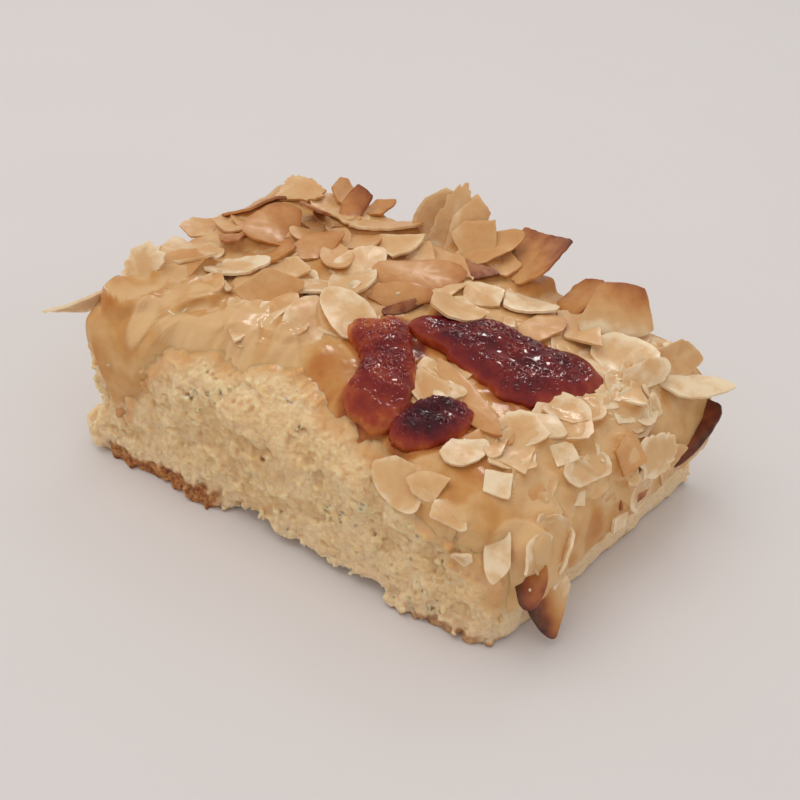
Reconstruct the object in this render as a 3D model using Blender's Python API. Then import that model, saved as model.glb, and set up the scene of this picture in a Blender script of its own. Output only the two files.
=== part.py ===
# A cut block of butter cake: pale yellow crumb under a baked almond topping,
# with patches of boiled-over caramel. All sizes are in millimetres, and MM
# turns them into metres. The plan starts at the corner of the two cut sides:
# X runs along the long cut side, Y into the depth, Z up from the plate.
import math
import random

import bmesh
import bpy
from mathutils import Matrix, Vector, noise

for old in list(bpy.data.objects):
    bpy.data.objects.remove(old, do_unlink=True)

MM = 0.001
GAP = 0.3
PLAN_CENTRE = (55.9, 38.4)

# crumb block
FRONT_LENGTH = 105.5
SIDE_SLANT = 0.19
DEPTH = 73.0
HEIGHT_FRONT_LEFT = 37.5
HEIGHT_FRONT_RIGHT = 28.5
HEIGHT_BACK_LEFT = 39.5
HEIGHT_BACK_RIGHT = 33.0
HEIGHT_REACH = 110.0
CROWN = 2.6
FRONT_SAG = 5.0
FRONT_SAG_REACH = 11.0
LEFT_SAG = 2.0
LEFT_SAG_REACH = 7.0
SHOULDER_WIDTH = 15.0
SHOULDER_DROP = 17.0
SHOULDER_ARC = 25.0
CORNER_RADIUS = 2.5
BAKED_CORNER_RADIUS = 7.0
CUT_CRAGS = 1.5
BAKED_CRAGS = 0.6
UNDERCUT = (38.0, 83.0, 9.0, 2.8)
CRUST_LEDGE = (4.0, 37.0, 3.5, 1.4)
STEP_BUMP = (85.0, 0.0, 6.0, 4.5, 1.6)
LOOSE_KNOB = (0.0, 2.0, 5.0, 4.5, 5.0)

# almond topping: a sticky bed with flaked almonds fused into it
BED_THICKNESS = 2.3
BED_LUMPS = 0.9
BED_ROOT = 1.0
BED_TAPER = 5.0
BED_HEM = 8.5
FLAKE_THICKNESS = 1.0
FLAKE_SIDES = 8
SCATTER_PITCH = 10.0
SCATTER_LENGTH = (11.0, 18.0)
SCATTER_SLIM = (0.5, 0.72)
SCATTER_SEED = 11

# flakes that give the topping its outline, one row each:
# x, y, heading, tip pitch, roll, length, width, extra lift
LAID_FLAKES = (
    (4, 17, 20, 8, 50, 13, 9, 0.5),
    (10, 21, 75, 10, 18, 15, 10, 0.4),
    (19, 31, 45, 4, -12, 20, 8, 1.6),
    (11, 40, 60, 6, -20, 12, 9, 0.8),
    (5, 54, 30, 12, -24, 17, 12, 1.0),
    (-1, 42, 80, 6, 34, 11, 8, 0.0),
    (8, 66, 15, 10, 14, 14, 10, 0.5),
    (30, 16, 100, 4, 6, 14, 9, 0.0),
    (36, 23, 105, 8, -10, 15, 8, 0.6),
    (42, 24, 115, 8, 12, 15, 8, 0.6),
    (29, 27, 45, 4, 48, 20, 8, 0.0),
    (38, 36, 20, 8, -10, 18, 14, 1.6),
    (40, 48, 90, 10, 8, 17, 12, 1.6),
    (52, 53, 40, 6, -14, 22, 11, 2.2),
    (54, 43, 35, 6, 30, 18, 8, 1.2),
    (22, 70, 85, 60, 10, 13, 8, 0.5),
    (25, 74, 80, 40, 8, 13, 7, 1.0),
    (17, 72, 150, 30, 10, 12, 8, 0.5),
    (33, 66, 20, 10, -14, 20, 11, 1.6),
    (52, 64, -12, 6, 24, 24, 8, 2.2),
    (45, 72, 60, 50, 30, 16, 11, 1.0),
    (50, 72, 70, 55, 20, 16, 11, 1.4),
    (55, 71, 75, 50, 15, 16, 11, 1.4),
    (59, 72, 80, 45, 10, 15, 10, 1.0),
    (62, 74, 95, 58, 0, 16, 11, 1.2),
    (73, 72, 70, 48, 12, 20, 15, 1.8),
    (63, 70, -10, 12, 30, 16, 8, 1.2),
    (61, 65, 10, 8, 20, 14, 8, 1.0),
    (76, 61, 5, 8, -8, 16, 9, 1.6),
    (67, 57, 15, 8, 16, 14, 7, 1.0),
    (95.5, 67.5, 42, 6, 48, 20, 15, 0.6),
    (85, 71, 60, 40, -10, 16, 10, 1.2),
    (101, 59, 40, 6, 6, 15, 13, 1.0),
    (104, 52, -20, 8, -10, 13, 9, 0.8),
    (108.5, 66.5, 25, 4, 38, 14, 10, 0.4),
    (99, 37, 60, 6, -8, 16, 10, 0.8),
    (93, 25, 20, 8, 10, 13, 9, 0.8),
    (80, 27, -20, 4, 26, 22, 7, 0.4),
    (88, 12, 50, 6, 6, 10, 7, 0.4),
    (93, 20, -30, 6, 14, 13, 7, 0.6),
    (97.5, 9.5, 20, 8, 10, 7, 6, 0.8),
    (101, 22, 10, 10, -6, 8, 6.5, 1.0),
    (80, 3, 20, 6, 0, 15, 10, 0.0),
    (109, 40, -30, 8, 16, 12, 8, 0.4),
    (108, 60, 70, 34, 30, 13, 7, 0.4),
)
# flakes that hang over an edge: x, y, z, heading, tip pitch, roll, length, width
HANGING_FLAKES = (
    (-3.0, 5.4, 35.9, -132, -21, 42, 21, 8),
    (116.0, 65.0, 32.2, 44, -8, 10, 20, 6.5),
    (119.0, 65.8, 21.0, -99, -46, 14, 20, 7),
    (111.0, 11.8, 8.6, -20, -72, 27, 15, 9.5),
    (106.5, 9.0, 15.5, -60, -40, 30, 10, 8),
    (103.0, 2.0, 20.5, -60, -50, 10, 12, 6),
    (110.5, 17.0, 19.5, -70, -30, 62, 14, 9),
)

# caramel patches, as lobes of x, y, radius along, radius across, heading
CARAMEL_LEFT = ((65.0, 13.0, 7.6, 6.2, 20), (62.0, 21.5, 8.0, 6.0, 110), (57.0, 27.5, 5.0, 3.6, 130))
CARAMEL_RIGHT = (
    (67.5, 41.0, 7.5, 5.0, 35),
    (77.0, 42.5, 8.0, 7.8, 60),
    (88.5, 42.0, 9.0, 8.6, 100),
    (95.5, 46.5, 6.0, 5.2, 60),
)
CARAMEL_FLAKE = ((79.5, 14.5, 9.0, 5.4, 56),)
CARAMEL_HEIGHT = 3.6
CARAMEL_ROOT = 0.7
CARAMEL_RINGS = 4
CARAMEL_SIDES = 26


def clamp(value, low=0.0, high=1.0):
    return max(low, min(high, value))


def smooth(value):
    value = clamp(value)
    return value * value * (3 - 2 * value)


def wobble(x, y, z=0.0, scale=1.0, seed=0.0):
    return noise.noise(Vector((x / scale + seed, y / scale - seed, z / scale + 0.5 * seed)))


def baked_side(y):
    return FRONT_LENGTH + SIDE_SLANT * y


def crumb_top(x, y):
    # height of the crumb: a tilted plane between the corners, crowned in the
    # middle, sinking to the cut edges and rounding off to the baked side
    u = x / HEIGHT_REACH
    v = y / DEPTH
    z = (1 - u) * (1 - v) * HEIGHT_FRONT_LEFT + u * (1 - v) * HEIGHT_FRONT_RIGHT
    z += (1 - u) * v * HEIGHT_BACK_LEFT + u * v * HEIGHT_BACK_RIGHT
    z += CROWN * math.sin(math.pi * clamp(u)) * math.sin(math.pi * clamp(v)) ** 0.7
    z -= FRONT_SAG * (1 - clamp(y / FRONT_SAG_REACH)) ** 2
    z -= LEFT_SAG * (1 - clamp(x / LEFT_SAG_REACH)) ** 2
    t = clamp(1 - (baked_side(y) - x) / SHOULDER_WIDTH)
    return z - SHOULDER_DROP * (1 - math.sqrt(1 - t * t))


def across(c, y):
    # x on a column: 0 to 1 crosses the flat top, 1 to 2 turns over the shoulder
    flat = baked_side(y) - SHOULDER_WIDTH
    if c <= 1:
        return c * flat
    return flat + SHOULDER_WIDTH * math.sin(math.radians(90 * clamp(c - 1)))


def column(x, y):
    flat = baked_side(y) - SHOULDER_WIDTH
    if x <= flat:
        return x / flat
    return 1 + math.degrees(math.asin(clamp((x - flat) / SHOULDER_WIDTH))) / 90


def skin(c, y):
    # a point of the draped surface, which past column 2 runs down the side
    x = across(c, y)
    z = crumb_top(x, y)
    if c > 2:
        z -= (c - 2) * (z - BED_HEM)
    return Vector((x, y, z))


def skin_normal(c, y):
    along = skin(c + 0.01, y) - skin(c - 0.01, y)
    back = skin(c, y + 0.5) - skin(c, y - 0.5)
    return along.cross(back).normalized()


def round_corner(x, y):
    # plan corners of the block turned from square to round
    right = baked_side(y)
    for cx, cy, sx, sy, radius in (
        (0.0, 0.0, 1, 1, CORNER_RADIUS),
        (0.0, DEPTH, 1, -1, CORNER_RADIUS),
        (right, 0.0, -1, 1, BAKED_CORNER_RADIUS),
        (right, DEPTH, -1, -1, CORNER_RADIUS),
    ):
        px = radius - (x - cx) * sx
        py = radius - (y - cy) * sy
        if px > 0 and py > 0:
            k = max(px, py) / math.hypot(px, py)
            return cx + (radius - px * k) * sx, cy + (radius - py * k) * sy
    return x, y


def under_side(x, y):
    # the torn base stands clear of the plate along part of the front
    start, end, reach, rise = UNDERCUT
    wave = 1.5 * wobble(x, 0, scale=7, seed=3)
    window = smooth((x - start) / 3) * smooth((end - x) / 3)
    return rise * window * (1 - smooth((y - 1.0 + wave) / reach))


def crags(p, n):
    # how far the torn crumb stands proud of the plain block
    cut = max(-n.y, n.y, -n.x, 0.0) if n.x < 0.6 else 0.0
    size = CUT_CRAGS * cut + BAKED_CRAGS * (1 - cut)
    out = size * (wobble(p.x, p.y, p.z, 6.5, 1.7) + 0.6 * wobble(p.x, p.y, p.z, 3.1, 4.2))
    if n.y < -0.5:
        start, end, high, reach = CRUST_LEDGE
        out += reach * smooth((p.x - start) / 3) * smooth((end - p.x) / 3) * (1 - smooth(p.z / high))
        bx, bz, wide, tall, reach = STEP_BUMP
        out += reach * math.exp(-((p.x - bx) / wide) ** 2 - ((p.z - bz) / tall) ** 2)
    if n.x < -0.3:
        kx, ky, kz, wide, reach = LOOSE_KNOB
        out += reach * math.exp(-((p.y - ky) / wide) ** 2 - ((p.z - kz) / (0.7 * wide)) ** 2)
    return out


def crumb_mesh(grow=0.0):
    columns = [i / 16 for i in range(17)] + [1 + i / 6 for i in range(1, 7)]
    rows = [0.0, 3.0, 6.5, 11.0] + [11.0 + (DEPTH - 11.0) * j / 9 for j in range(1, 10)]
    layers = 8
    bm = bmesh.new()
    verts = {}
    last_c = len(columns) - 1
    last_r = len(rows) - 1
    for i, c in enumerate(columns):
        for j, y in enumerate(rows):
            x, yy = round_corner(across(c, y), y)
            low = under_side(x, yy)
            high = crumb_top(min(x, baked_side(yy)), yy)
            edge = i in (0, last_c) or j in (0, last_r)
            for k in range(layers + 1):
                if edge or k in (0, layers):
                    z = low + (high - low) * (k / layers) ** 1.1
                    verts[i, j, k] = bm.verts.new((x, yy, z))
    for i in range(last_c):
        for j in range(last_r):
            a, b, c, d = (i, j), (i + 1, j), (i + 1, j + 1), (i, j + 1)
            bm.faces.new([verts[q[0], q[1], layers] for q in (a, b, c, d)])
            bm.faces.new([verts[q[0], q[1], 0] for q in (d, c, b, a)])
    for k in range(layers):
        for i in range(last_c):
            for j, flip in ((0, False), (last_r, True)):
                quad = [verts[i, j, k], verts[i + 1, j, k], verts[i + 1, j, k + 1], verts[i, j, k + 1]]
                bm.faces.new(quad[::-1] if flip else quad)
        for j in range(last_r):
            for i, flip in ((0, True), (last_c, False)):
                quad = [verts[i, j, k], verts[i, j + 1, k], verts[i, j + 1, k + 1], verts[i, j, k + 1]]
                bm.faces.new(quad[::-1] if flip else quad)
    bm.normal_update()
    moves = []
    for v in bm.verts:
        n = v.normal.copy()
        step = n * crags(v.co, n)
        if n.z < -0.3:
            step.z = 0.0
        moves.append(step)
    for v, step in zip(bm.verts, moves):
        v.co += step
    if grow:
        bm.normal_update()
        for v, n in [(v, v.normal.copy()) for v in bm.verts]:
            v.co += n * grow
    bmesh.ops.triangulate(bm, faces=bm.faces[:])
    return bm


def bed_border(x):
    # the bed stops short of the front edge on the left and reaches it on the right
    wave = 1.8 * wobble(x, 0, scale=9, seed=7)
    return 1.0 + 7.5 * (1 - smooth((x - 46) / 16)) + wave


def bed_height(x, y):
    lumps = BED_LUMPS * (wobble(x, y, scale=9, seed=2) + 0.5 * wobble(x, y, scale=4.5, seed=5))
    return BED_THICKNESS + lumps


def bed_mesh():
    columns = [i / 15 for i in range(16)] + [1 + i / 5 for i in range(1, 6)] + [2.35, 2.7, 3.0]
    count = 13
    bm = bmesh.new()
    top = {}
    low = {}
    for i, c in enumerate(columns):
        for j in range(count + 1):
            f = j / count
            start = bed_border(across(c, 20))
            y = start + (DEPTH - 0.4 - start) * f ** 1.15
            p = skin(max(c, 0.004), y)
            n = skin_normal(max(c, 0.02), y)
            thick = bed_height(p.x, y)
            thick *= 0.15 + 0.85 * smooth((y - start) / BED_TAPER)
            thick *= 1 - 0.85 * smooth((c - 2.2 + 0.3 * wobble(y, c, scale=8)) / 0.8)
            top[i, j] = bm.verts.new(p + n * thick)
            low[i, j] = bm.verts.new(p - n * BED_ROOT)
    last = len(columns) - 1
    for i in range(last):
        for j in range(count):
            a, b, c, d = (i, j), (i + 1, j), (i + 1, j + 1), (i, j + 1)
            bm.faces.new([top[q] for q in (a, b, c, d)])
            bm.faces.new([low[q] for q in (d, c, b, a)])
        for j, flip in ((0, False), (count, True)):
            quad = [low[i, j], low[i + 1, j], top[i + 1, j], top[i, j]]
            bm.faces.new(quad[::-1] if flip else quad)
    for j in range(count):
        for i, flip in ((0, True), (last, False)):
            quad = [low[i, j], low[i, j + 1], top[i, j + 1], top[i, j]]
            bm.faces.new(quad[::-1] if flip else quad)
    bmesh.ops.triangulate(bm, faces=bm.faces[:])
    return bm


def flake_point(turn, length, width, rng_cuts):
    # an almond slice seen flat: blunt at one end, narrower at the tip, with
    # straight breaks where the slice snapped
    x = 0.5 * length * math.cos(turn)
    y = 0.5 * width * math.sin(turn) * (1 - 0.22 * math.cos(turn))
    for angle, reach in rng_cuts:
        nx, ny = math.cos(angle), math.sin(angle)
        limit = reach * 0.5 * math.hypot(length * nx, width * ny)
        over = x * nx + y * ny - limit
        if over > 0:
            x -= nx * over
            y -= ny * over
    return x, y


def flake_mesh(length, width, seed):
    # a thin wavy solid, both faces split alike
    rng = random.Random(seed)
    breaks = [(rng.uniform(0, 2 * math.pi), rng.uniform(0.6, 0.9)) for _ in range(2)]
    cup = rng.uniform(-0.05, 0.14) * length
    roof = rng.uniform(-0.10, 0.10) * width
    ripple = rng.uniform(-0.05, 0.05) * length
    bm = bmesh.new()
    rims = []
    for side in (1, -1):
        ring = []
        for k in range(FLAKE_SIDES):
            x, y = flake_point(2 * math.pi * k / FLAKE_SIDES, length, width, breaks)
            z = cup * (2 * x / length) ** 2 + roof * (2 * y / width) ** 2
            z += ripple * math.sin(5 * x / length + 3 * y / width)
            ring.append(bm.verts.new((x, y, z + side * 0.5 * FLAKE_THICKNESS)))
        middle = bm.verts.new((0, 0, side * 0.5 * FLAKE_THICKNESS))
        for k in range(FLAKE_SIDES):
            tri = [middle, ring[k], ring[(k + 1) % FLAKE_SIDES]]
            bm.faces.new(tri if side > 0 else tri[::-1])
        rims.append(ring)
    for k in range(FLAKE_SIDES):
        m = (k + 1) % FLAKE_SIDES
        bm.faces.new([rims[0][k], rims[1][k], rims[1][m]])
        bm.faces.new([rims[0][k], rims[1][m], rims[0][m]])
    return bm


def turned(up, heading, pitch, roll):
    # axes of a flake: its tip along the heading, raised by the pitch, rolled on its long axis
    ahead = Vector((math.cos(math.radians(heading)), math.sin(math.radians(heading)), 0))
    ahead = (ahead - up * ahead.dot(up)).normalized()
    frame = Matrix((ahead, up.cross(ahead), up)).transposed()
    pitched = Matrix.Rotation(math.radians(-pitch), 3, "Y")
    rolled = Matrix.Rotation(math.radians(roll), 3, "X")
    return (frame @ pitched @ rolled).to_4x4()


def laid_frame(x, y, heading, pitch, roll, length, width, extra):
    c = column(x, y)
    up = skin_normal(max(c, 0.02), y)
    base = skin(max(c, 0.0), y)
    if x < 0:
        base.x = x
    lift = bed_height(x, y) + 0.2 + extra
    lift += 0.36 * width * abs(math.sin(math.radians(roll)))
    lift += 0.36 * length * abs(math.sin(math.radians(pitch)))
    return Matrix.Translation(base + up * lift) @ turned(up, heading, pitch, roll)


def hung_frame(x, y, z, heading, pitch, roll):
    return Matrix.Translation((x, y, z)) @ turned(Vector((0, 0, 1)), heading, pitch, roll)


def settle(flake):
    # lowers a flake until its lowest point bites into the bed
    gaps = []
    for v in flake.data.vertices:
        x, y, z = v.co
        if 0 < x < baked_side(y) - 4 and bed_border(x) + 2 < y < DEPTH:
            gaps.append(z - crumb_top(x, y) - bed_height(x, y))
    if gaps and min(gaps) > -0.45:
        flake.data.transform(Matrix.Translation((0, 0, -0.45 - min(gaps))))


def scattered():
    # the flakes between the named ones, on a loose grid over the bed
    rng = random.Random(SCATTER_SEED)
    taken = [(row[0], row[1]) for row in LAID_FLAKES]
    rows = []
    for i in range(13):
        for j in range(7):
            run = 6 + SCATTER_PITCH * (i + rng.uniform(-0.3, 0.3) + 0.5 * (j % 2))
            y = 9 + SCATTER_PITCH * (j + rng.uniform(-0.3, 0.3))
            flat = baked_side(y) - SHOULDER_WIDTH
            turn = clamp((run - flat) / SHOULDER_ARC)
            x = min(run, flat) + SHOULDER_WIDTH * math.sin(0.5 * math.pi * turn)
            heading = rng.uniform(0, 360)
            length = rng.uniform(*SCATTER_LENGTH)
            width = length * rng.uniform(*SCATTER_SLIM)
            pitch = rng.uniform(0, 14)
            roll = rng.uniform(-16, 16)
            inside = turn < 0.85 and bed_border(x) + 4 < y < DEPTH - 2
            clear = all(math.hypot(x - a, y - b) > 5.8 for a, b in taken)
            if inside and clear and min(lobe_reach(x, y, p) for p in PATCHES) > 1.25:
                rows.append((x, y, heading, pitch, roll, length, width, 0.4))
                taken.append((x, y))
    return rows


def lobe_reach(x, y, lobes):
    # about 1 on a patch's outline, less inside it
    total = 0.0
    for cx, cy, along, wide, heading in lobes:
        h = math.radians(heading)
        a = ((x - cx) * math.cos(h) + (y - cy) * math.sin(h)) / along
        b = (-(x - cx) * math.sin(h) + (y - cy) * math.cos(h)) / wide
        total += math.exp(-3.0 * (math.hypot(a, b) - 1))
    return 1 - math.log(max(total, 1e-9)) / 3.0


PATCHES = (CARAMEL_LEFT, CARAMEL_RIGHT, CARAMEL_FLAKE)


def caramel_mesh(lobes, height, seed, grow=0.0):
    # a low blob on the bed: rings from its middle out to the outline of its lobes
    mx = sum(lobe[0] for lobe in lobes) / len(lobes)
    my = sum(lobe[1] for lobe in lobes) / len(lobes)
    bm = bmesh.new()
    reaches = []
    for k in range(CARAMEL_SIDES):
        turn = 2 * math.pi * k / CARAMEL_SIDES
        r = 1.0
        while lobe_reach(mx + r * math.cos(turn), my + r * math.sin(turn), lobes) < 1:
            r += 0.1
        r *= 1 + 0.05 * wobble(math.cos(turn), math.sin(turn), scale=0.5, seed=seed)
        reaches.append(r)
    sheets = []
    for side in (1, -1):
        rings = []
        for ring in range(1, CARAMEL_RINGS + 1):
            f = math.sin(0.5 * math.pi * ring / CARAMEL_RINGS)
            row = []
            for k in range(CARAMEL_SIDES):
                turn = 2 * math.pi * k / CARAMEL_SIDES
                r = reaches[k] * f + grow * f
                x = mx + r * math.cos(turn)
                y = my + r * math.sin(turn)
                row.append(bm.verts.new((x, y, caramel_level(x, y, f, side, height, seed, grow))))
            rings.append(row)
        middle = bm.verts.new((mx, my, caramel_level(mx, my, 0, side, height, seed, grow)))
        sheets.append((middle, rings))
    for (middle, rings), side in zip(sheets, (1, -1)):
        for k in range(CARAMEL_SIDES):
            m = (k + 1) % CARAMEL_SIDES
            tri = [middle, rings[0][k], rings[0][m]]
            bm.faces.new(tri if side > 0 else tri[::-1])
            for inner, outer in zip(rings, rings[1:]):
                quad = [inner[k], outer[k], outer[m], inner[m]]
                bm.faces.new(quad if side > 0 else quad[::-1])
    for k in range(CARAMEL_SIDES):
        m = (k + 1) % CARAMEL_SIDES
        upper, lower = sheets[0][1][-1], sheets[1][1][-1]
        bm.faces.new([lower[k], lower[m], upper[m], upper[k]])
    bmesh.ops.triangulate(bm, faces=bm.faces[:])
    return bm


def caramel_level(x, y, f, side, height, seed, grow):
    bed = crumb_top(x, y) + BED_THICKNESS
    if side < 0:
        return bed - CARAMEL_ROOT - grow
    dome = (1 - f ** 4) ** 0.5
    bubbles = 0.5 * wobble(x, y, scale=4, seed=seed) * (1 - f * f)
    return bed + 0.4 + (height - 0.4) * dome + bubbles + grow


def add_object(name, bm):
    mesh = bpy.data.meshes.new(name)
    bm.to_mesh(mesh)
    bm.free()
    obj = bpy.data.objects.new(name, mesh)
    bpy.context.scene.collection.objects.link(obj)
    return obj


def baked(obj, name):
    # the object's modifiers turned into a plain mesh
    graph = bpy.context.evaluated_depsgraph_get()
    mesh = bpy.data.meshes.new_from_object(obj.evaluated_get(graph))
    mesh.name = name
    obj.modifiers.clear()
    obj.data = mesh


def combine(obj, others, operation, name):
    group = bpy.data.collections.new("joined")
    bpy.context.scene.collection.children.link(group)
    for other in others:
        group.objects.link(other)
    boolean = obj.modifiers.new("combine", "BOOLEAN")
    boolean.operation = operation
    boolean.operand_type = "COLLECTION"
    boolean.collection = group
    boolean.solver = "MANIFOLD"
    baked(obj, name)
    for other in others:
        bpy.data.objects.remove(other, do_unlink=True)
    bpy.data.collections.remove(group)


def keep_largest(obj):
    # the one body that matters: scraps that touch nothing and sealed hollows go
    bm = bmesh.new()
    bm.from_mesh(obj.data)
    bmesh.ops.remove_doubles(bm, verts=bm.verts[:], dist=0.01)
    bmesh.ops.dissolve_degenerate(bm, edges=bm.edges[:], dist=0.005)
    bmesh.ops.triangulate(bm, faces=bm.faces[:])
    left = set(bm.verts)
    best = set()
    while left:
        start = left.pop()
        island = {start}
        todo = [start]
        while todo:
            for edge in todo.pop().link_edges:
                for v in edge.verts:
                    if v not in island:
                        island.add(v)
                        todo.append(v)
        left -= island
        if len(island) > len(best):
            best = island
    bmesh.ops.delete(bm, geom=[v for v in bm.verts if v not in best], context="VERTS")
    bm.to_mesh(obj.data)
    bm.free()


def principled(name, colour, roughness):
    material = bpy.data.materials.new(name)
    material.use_nodes = True
    shader = material.node_tree.nodes["Principled BSDF"]
    shader.inputs["Base Color"].default_value = (*colour, 1.0)
    shader.inputs["Roughness"].default_value = roughness
    shader.inputs["Metallic"].default_value = 0.0
    material.diffuse_color = (*colour, 1.0)
    return material


def finish(obj, material):
    # from the plan in millimetres to metres about the middle of the base
    shift = Matrix.Translation((-PLAN_CENTRE[0] * MM, -PLAN_CENTRE[1] * MM, 0))
    obj.data.transform(shift @ Matrix.Scale(MM, 4))
    obj.data.materials.clear()
    obj.data.materials.append(material)
    obj.data.shade_smooth()
    obj.data.set_sharp_from_angle(angle=math.radians(35))


crumb = add_object("crumb", crumb_mesh())

topping = add_object("almond_topping", bed_mesh())
flakes = []
for index, row in enumerate(LAID_FLAKES + tuple(scattered())):
    flake = add_object("flake", flake_mesh(row[5], row[6], index))
    flake.data.transform(laid_frame(*row))
    settle(flake)
    flakes.append(flake)
for index, row in enumerate(HANGING_FLAKES):
    flake = add_object("flake", flake_mesh(row[6], row[7], 500 + index))
    flake.data.transform(hung_frame(*row[:6]))
    flakes.append(flake)
combine(topping, flakes, "UNION", "almond_topping")

cutters = [add_object("cutter", crumb_mesh(grow=1.5 * GAP))]
for index, lobes in enumerate(PATCHES):
    cutters.append(add_object("cutter", caramel_mesh(lobes, CARAMEL_HEIGHT, index, grow=1.3 * GAP)))
for cutter in cutters:
    combine(topping, [cutter], "DIFFERENCE", "almond_topping")
keep_largest(topping)

finish(crumb, principled("butter crumb", (0.72, 0.52, 0.27), 0.85))
finish(topping, principled("glazed almond flakes", (0.78, 0.55, 0.30), 0.35))
for index, name in enumerate(("caramel_left", "caramel_right", "caramel_flake")):
    patch = add_object(name, caramel_mesh(PATCHES[index], CARAMEL_HEIGHT, index))
    finish(patch, principled("boiled caramel " + name, (0.16, 0.03, 0.01), 0.2))
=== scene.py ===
import math
import random
from functools import partial

import bpy
import numpy as np
from mathutils import Matrix, Vector, noise
from mathutils.bvhtree import BVHTree


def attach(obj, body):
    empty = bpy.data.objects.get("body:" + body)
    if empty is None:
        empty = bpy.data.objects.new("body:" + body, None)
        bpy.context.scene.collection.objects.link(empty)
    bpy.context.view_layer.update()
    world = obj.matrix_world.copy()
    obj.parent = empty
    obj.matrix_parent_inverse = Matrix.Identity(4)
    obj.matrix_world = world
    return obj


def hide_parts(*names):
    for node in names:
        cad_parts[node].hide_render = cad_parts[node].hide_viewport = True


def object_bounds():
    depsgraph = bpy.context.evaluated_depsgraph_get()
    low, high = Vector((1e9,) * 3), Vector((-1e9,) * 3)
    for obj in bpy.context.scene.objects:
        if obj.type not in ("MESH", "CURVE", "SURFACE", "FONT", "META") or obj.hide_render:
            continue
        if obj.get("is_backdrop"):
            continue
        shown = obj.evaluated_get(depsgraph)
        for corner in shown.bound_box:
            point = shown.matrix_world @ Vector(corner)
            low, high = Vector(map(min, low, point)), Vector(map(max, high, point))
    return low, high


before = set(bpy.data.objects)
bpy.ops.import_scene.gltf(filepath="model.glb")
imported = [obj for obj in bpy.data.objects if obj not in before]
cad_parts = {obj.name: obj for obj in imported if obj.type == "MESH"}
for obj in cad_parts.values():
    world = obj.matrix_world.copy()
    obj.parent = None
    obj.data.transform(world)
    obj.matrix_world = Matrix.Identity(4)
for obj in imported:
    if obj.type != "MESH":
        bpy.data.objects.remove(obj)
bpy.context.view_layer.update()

# everything is worked out in millimetres on a plan whose corner is the corner
# of the two cut sides: x along the long cut, y into the slice, z up
planCentre = (55.9, 38.4)

cake = {
    "frontLength": 105.5,
    "sideSlant": 0.19,  # the baked side leans out with depth
    "depth": 73.0,
    "cornerHeights": (37.5, 28.5, 39.5, 33.0),  # front left, front right, back left, back right
    "heightReach": 110.0,
    "crown": 2.6,
    "frontSag": (5.0, 11.0),  # drop, reach
    "leftSag": (2.0, 7.0),
    "shoulder": (15.0, 17.0, 25.0),  # width, drop, arc
    "cornerRadius": 2.5,
    "bakedCornerRadius": 7.0,
    "undercut": (38.0, 83.0, 9.0, 2.8),  # from x, to x, depth, rise
    "crustLedge": (4.0, 37.0, 3.5, 1.4),  # from x, to x, height, reach
    "stepBump": (85.0, 0.0, 6.0, 4.5, 1.6),  # x, z, half width, half height, reach
    "looseKnob": (2.0, 5.0, 4.5, 0.7 * 4.5, 5.0),  # y, z, half width, half height, reach
}

bed = {
    "thickness": 2.3,
    "lumps": 0.9,
    "root": 1.0,
    "hem": 8.5,
}


def smooth(value):
    value = np.clip(value, 0, 1)
    return value * value * (3 - 2 * value)


def between(value, low, high, rise=3):
    # 1 from low to high, fading in over rise mm and out over three
    return smooth((value - low) / rise) * smooth((high - value) / 3)


def hill(x, y, cx, cy, wide, tall):
    return np.exp(-(((x - cx) / wide) ** 2) - ((y - cy) / tall) ** 2)


def wobble(x, y, z=0.0, scale=1.0, seed=0.0):
    return noise.noise(Vector((x / scale + seed, y / scale - seed, z / scale + 0.5 * seed)))


wobbleAll = np.vectorize(wobble, otypes=[float])


def grain(points, size, seed):
    # smooth random values from -1 to 1 whose lumps are about size mm across
    table = np.random.default_rng(seed).random((32, 32, 32), dtype=np.float32) * 2 - 1
    place = points / np.float32(size)
    cell = np.floor(place).astype(np.int32)
    part = place - cell
    part = part * part * (3 - 2 * part)
    total = np.zeros(len(points), dtype=np.float32)
    for corner in np.ndindex(2, 2, 2):
        ix, iy, iz = (cell + np.int32(corner)).T % 32
        wx, wy, wz = (w if side else 1 - w for w, side in zip(part.T, corner))
        total += wx * wy * wz * table[ix, iy, iz]
    return total


def bakedSide(y):
    return cake["frontLength"] + cake["sideSlant"] * y


def crumbTop(x, y):
    u = x / cake["heightReach"]
    v = y / cake["depth"]
    fl, fr, bl, br = cake["cornerHeights"]
    z = (1 - u) * (1 - v) * fl + u * (1 - v) * fr + (1 - u) * v * bl + u * v * br
    arch = np.maximum(np.sin(math.pi * np.clip(v, 0, 1)), 0) ** 0.7
    z = z + cake["crown"] * np.sin(math.pi * np.clip(u, 0, 1)) * arch
    sag, reach = cake["frontSag"]
    z = z - sag * (1 - np.clip(y / reach, 0, 1)) ** 2
    sag, reach = cake["leftSag"]
    z = z - sag * (1 - np.clip(x / reach, 0, 1)) ** 2
    width, drop, arc = cake["shoulder"]
    t = np.clip(1 - (bakedSide(y) - x) / width, 0, 1)
    return z - drop * (1 - np.sqrt(1 - t * t))


def across(c, y):
    # x on a column: 0 to 1 crosses the flat top, 1 to 2 turns over the shoulder
    width = cake["shoulder"][0]
    flat = bakedSide(y) - width
    return np.where(c <= 1, c * flat, flat + width * np.sin(0.5 * math.pi * np.clip(c - 1, 0, 1)))


def column(x, y):
    width = cake["shoulder"][0]
    flat = bakedSide(y) - width
    if x <= flat:
        return x / flat
    return 1 + 2 / math.pi * math.asin(min(1.0, (x - flat) / width))


def skin(c, y):
    # points of the draped surface, which past column 2 runs down the side
    x = across(c, y)
    z = crumbTop(x, y)
    z = z - np.clip(c - 2, 0, 9) * (z - bed["hem"])
    return np.stack(np.broadcast_arrays(x, y, z), axis=-1)


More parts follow.
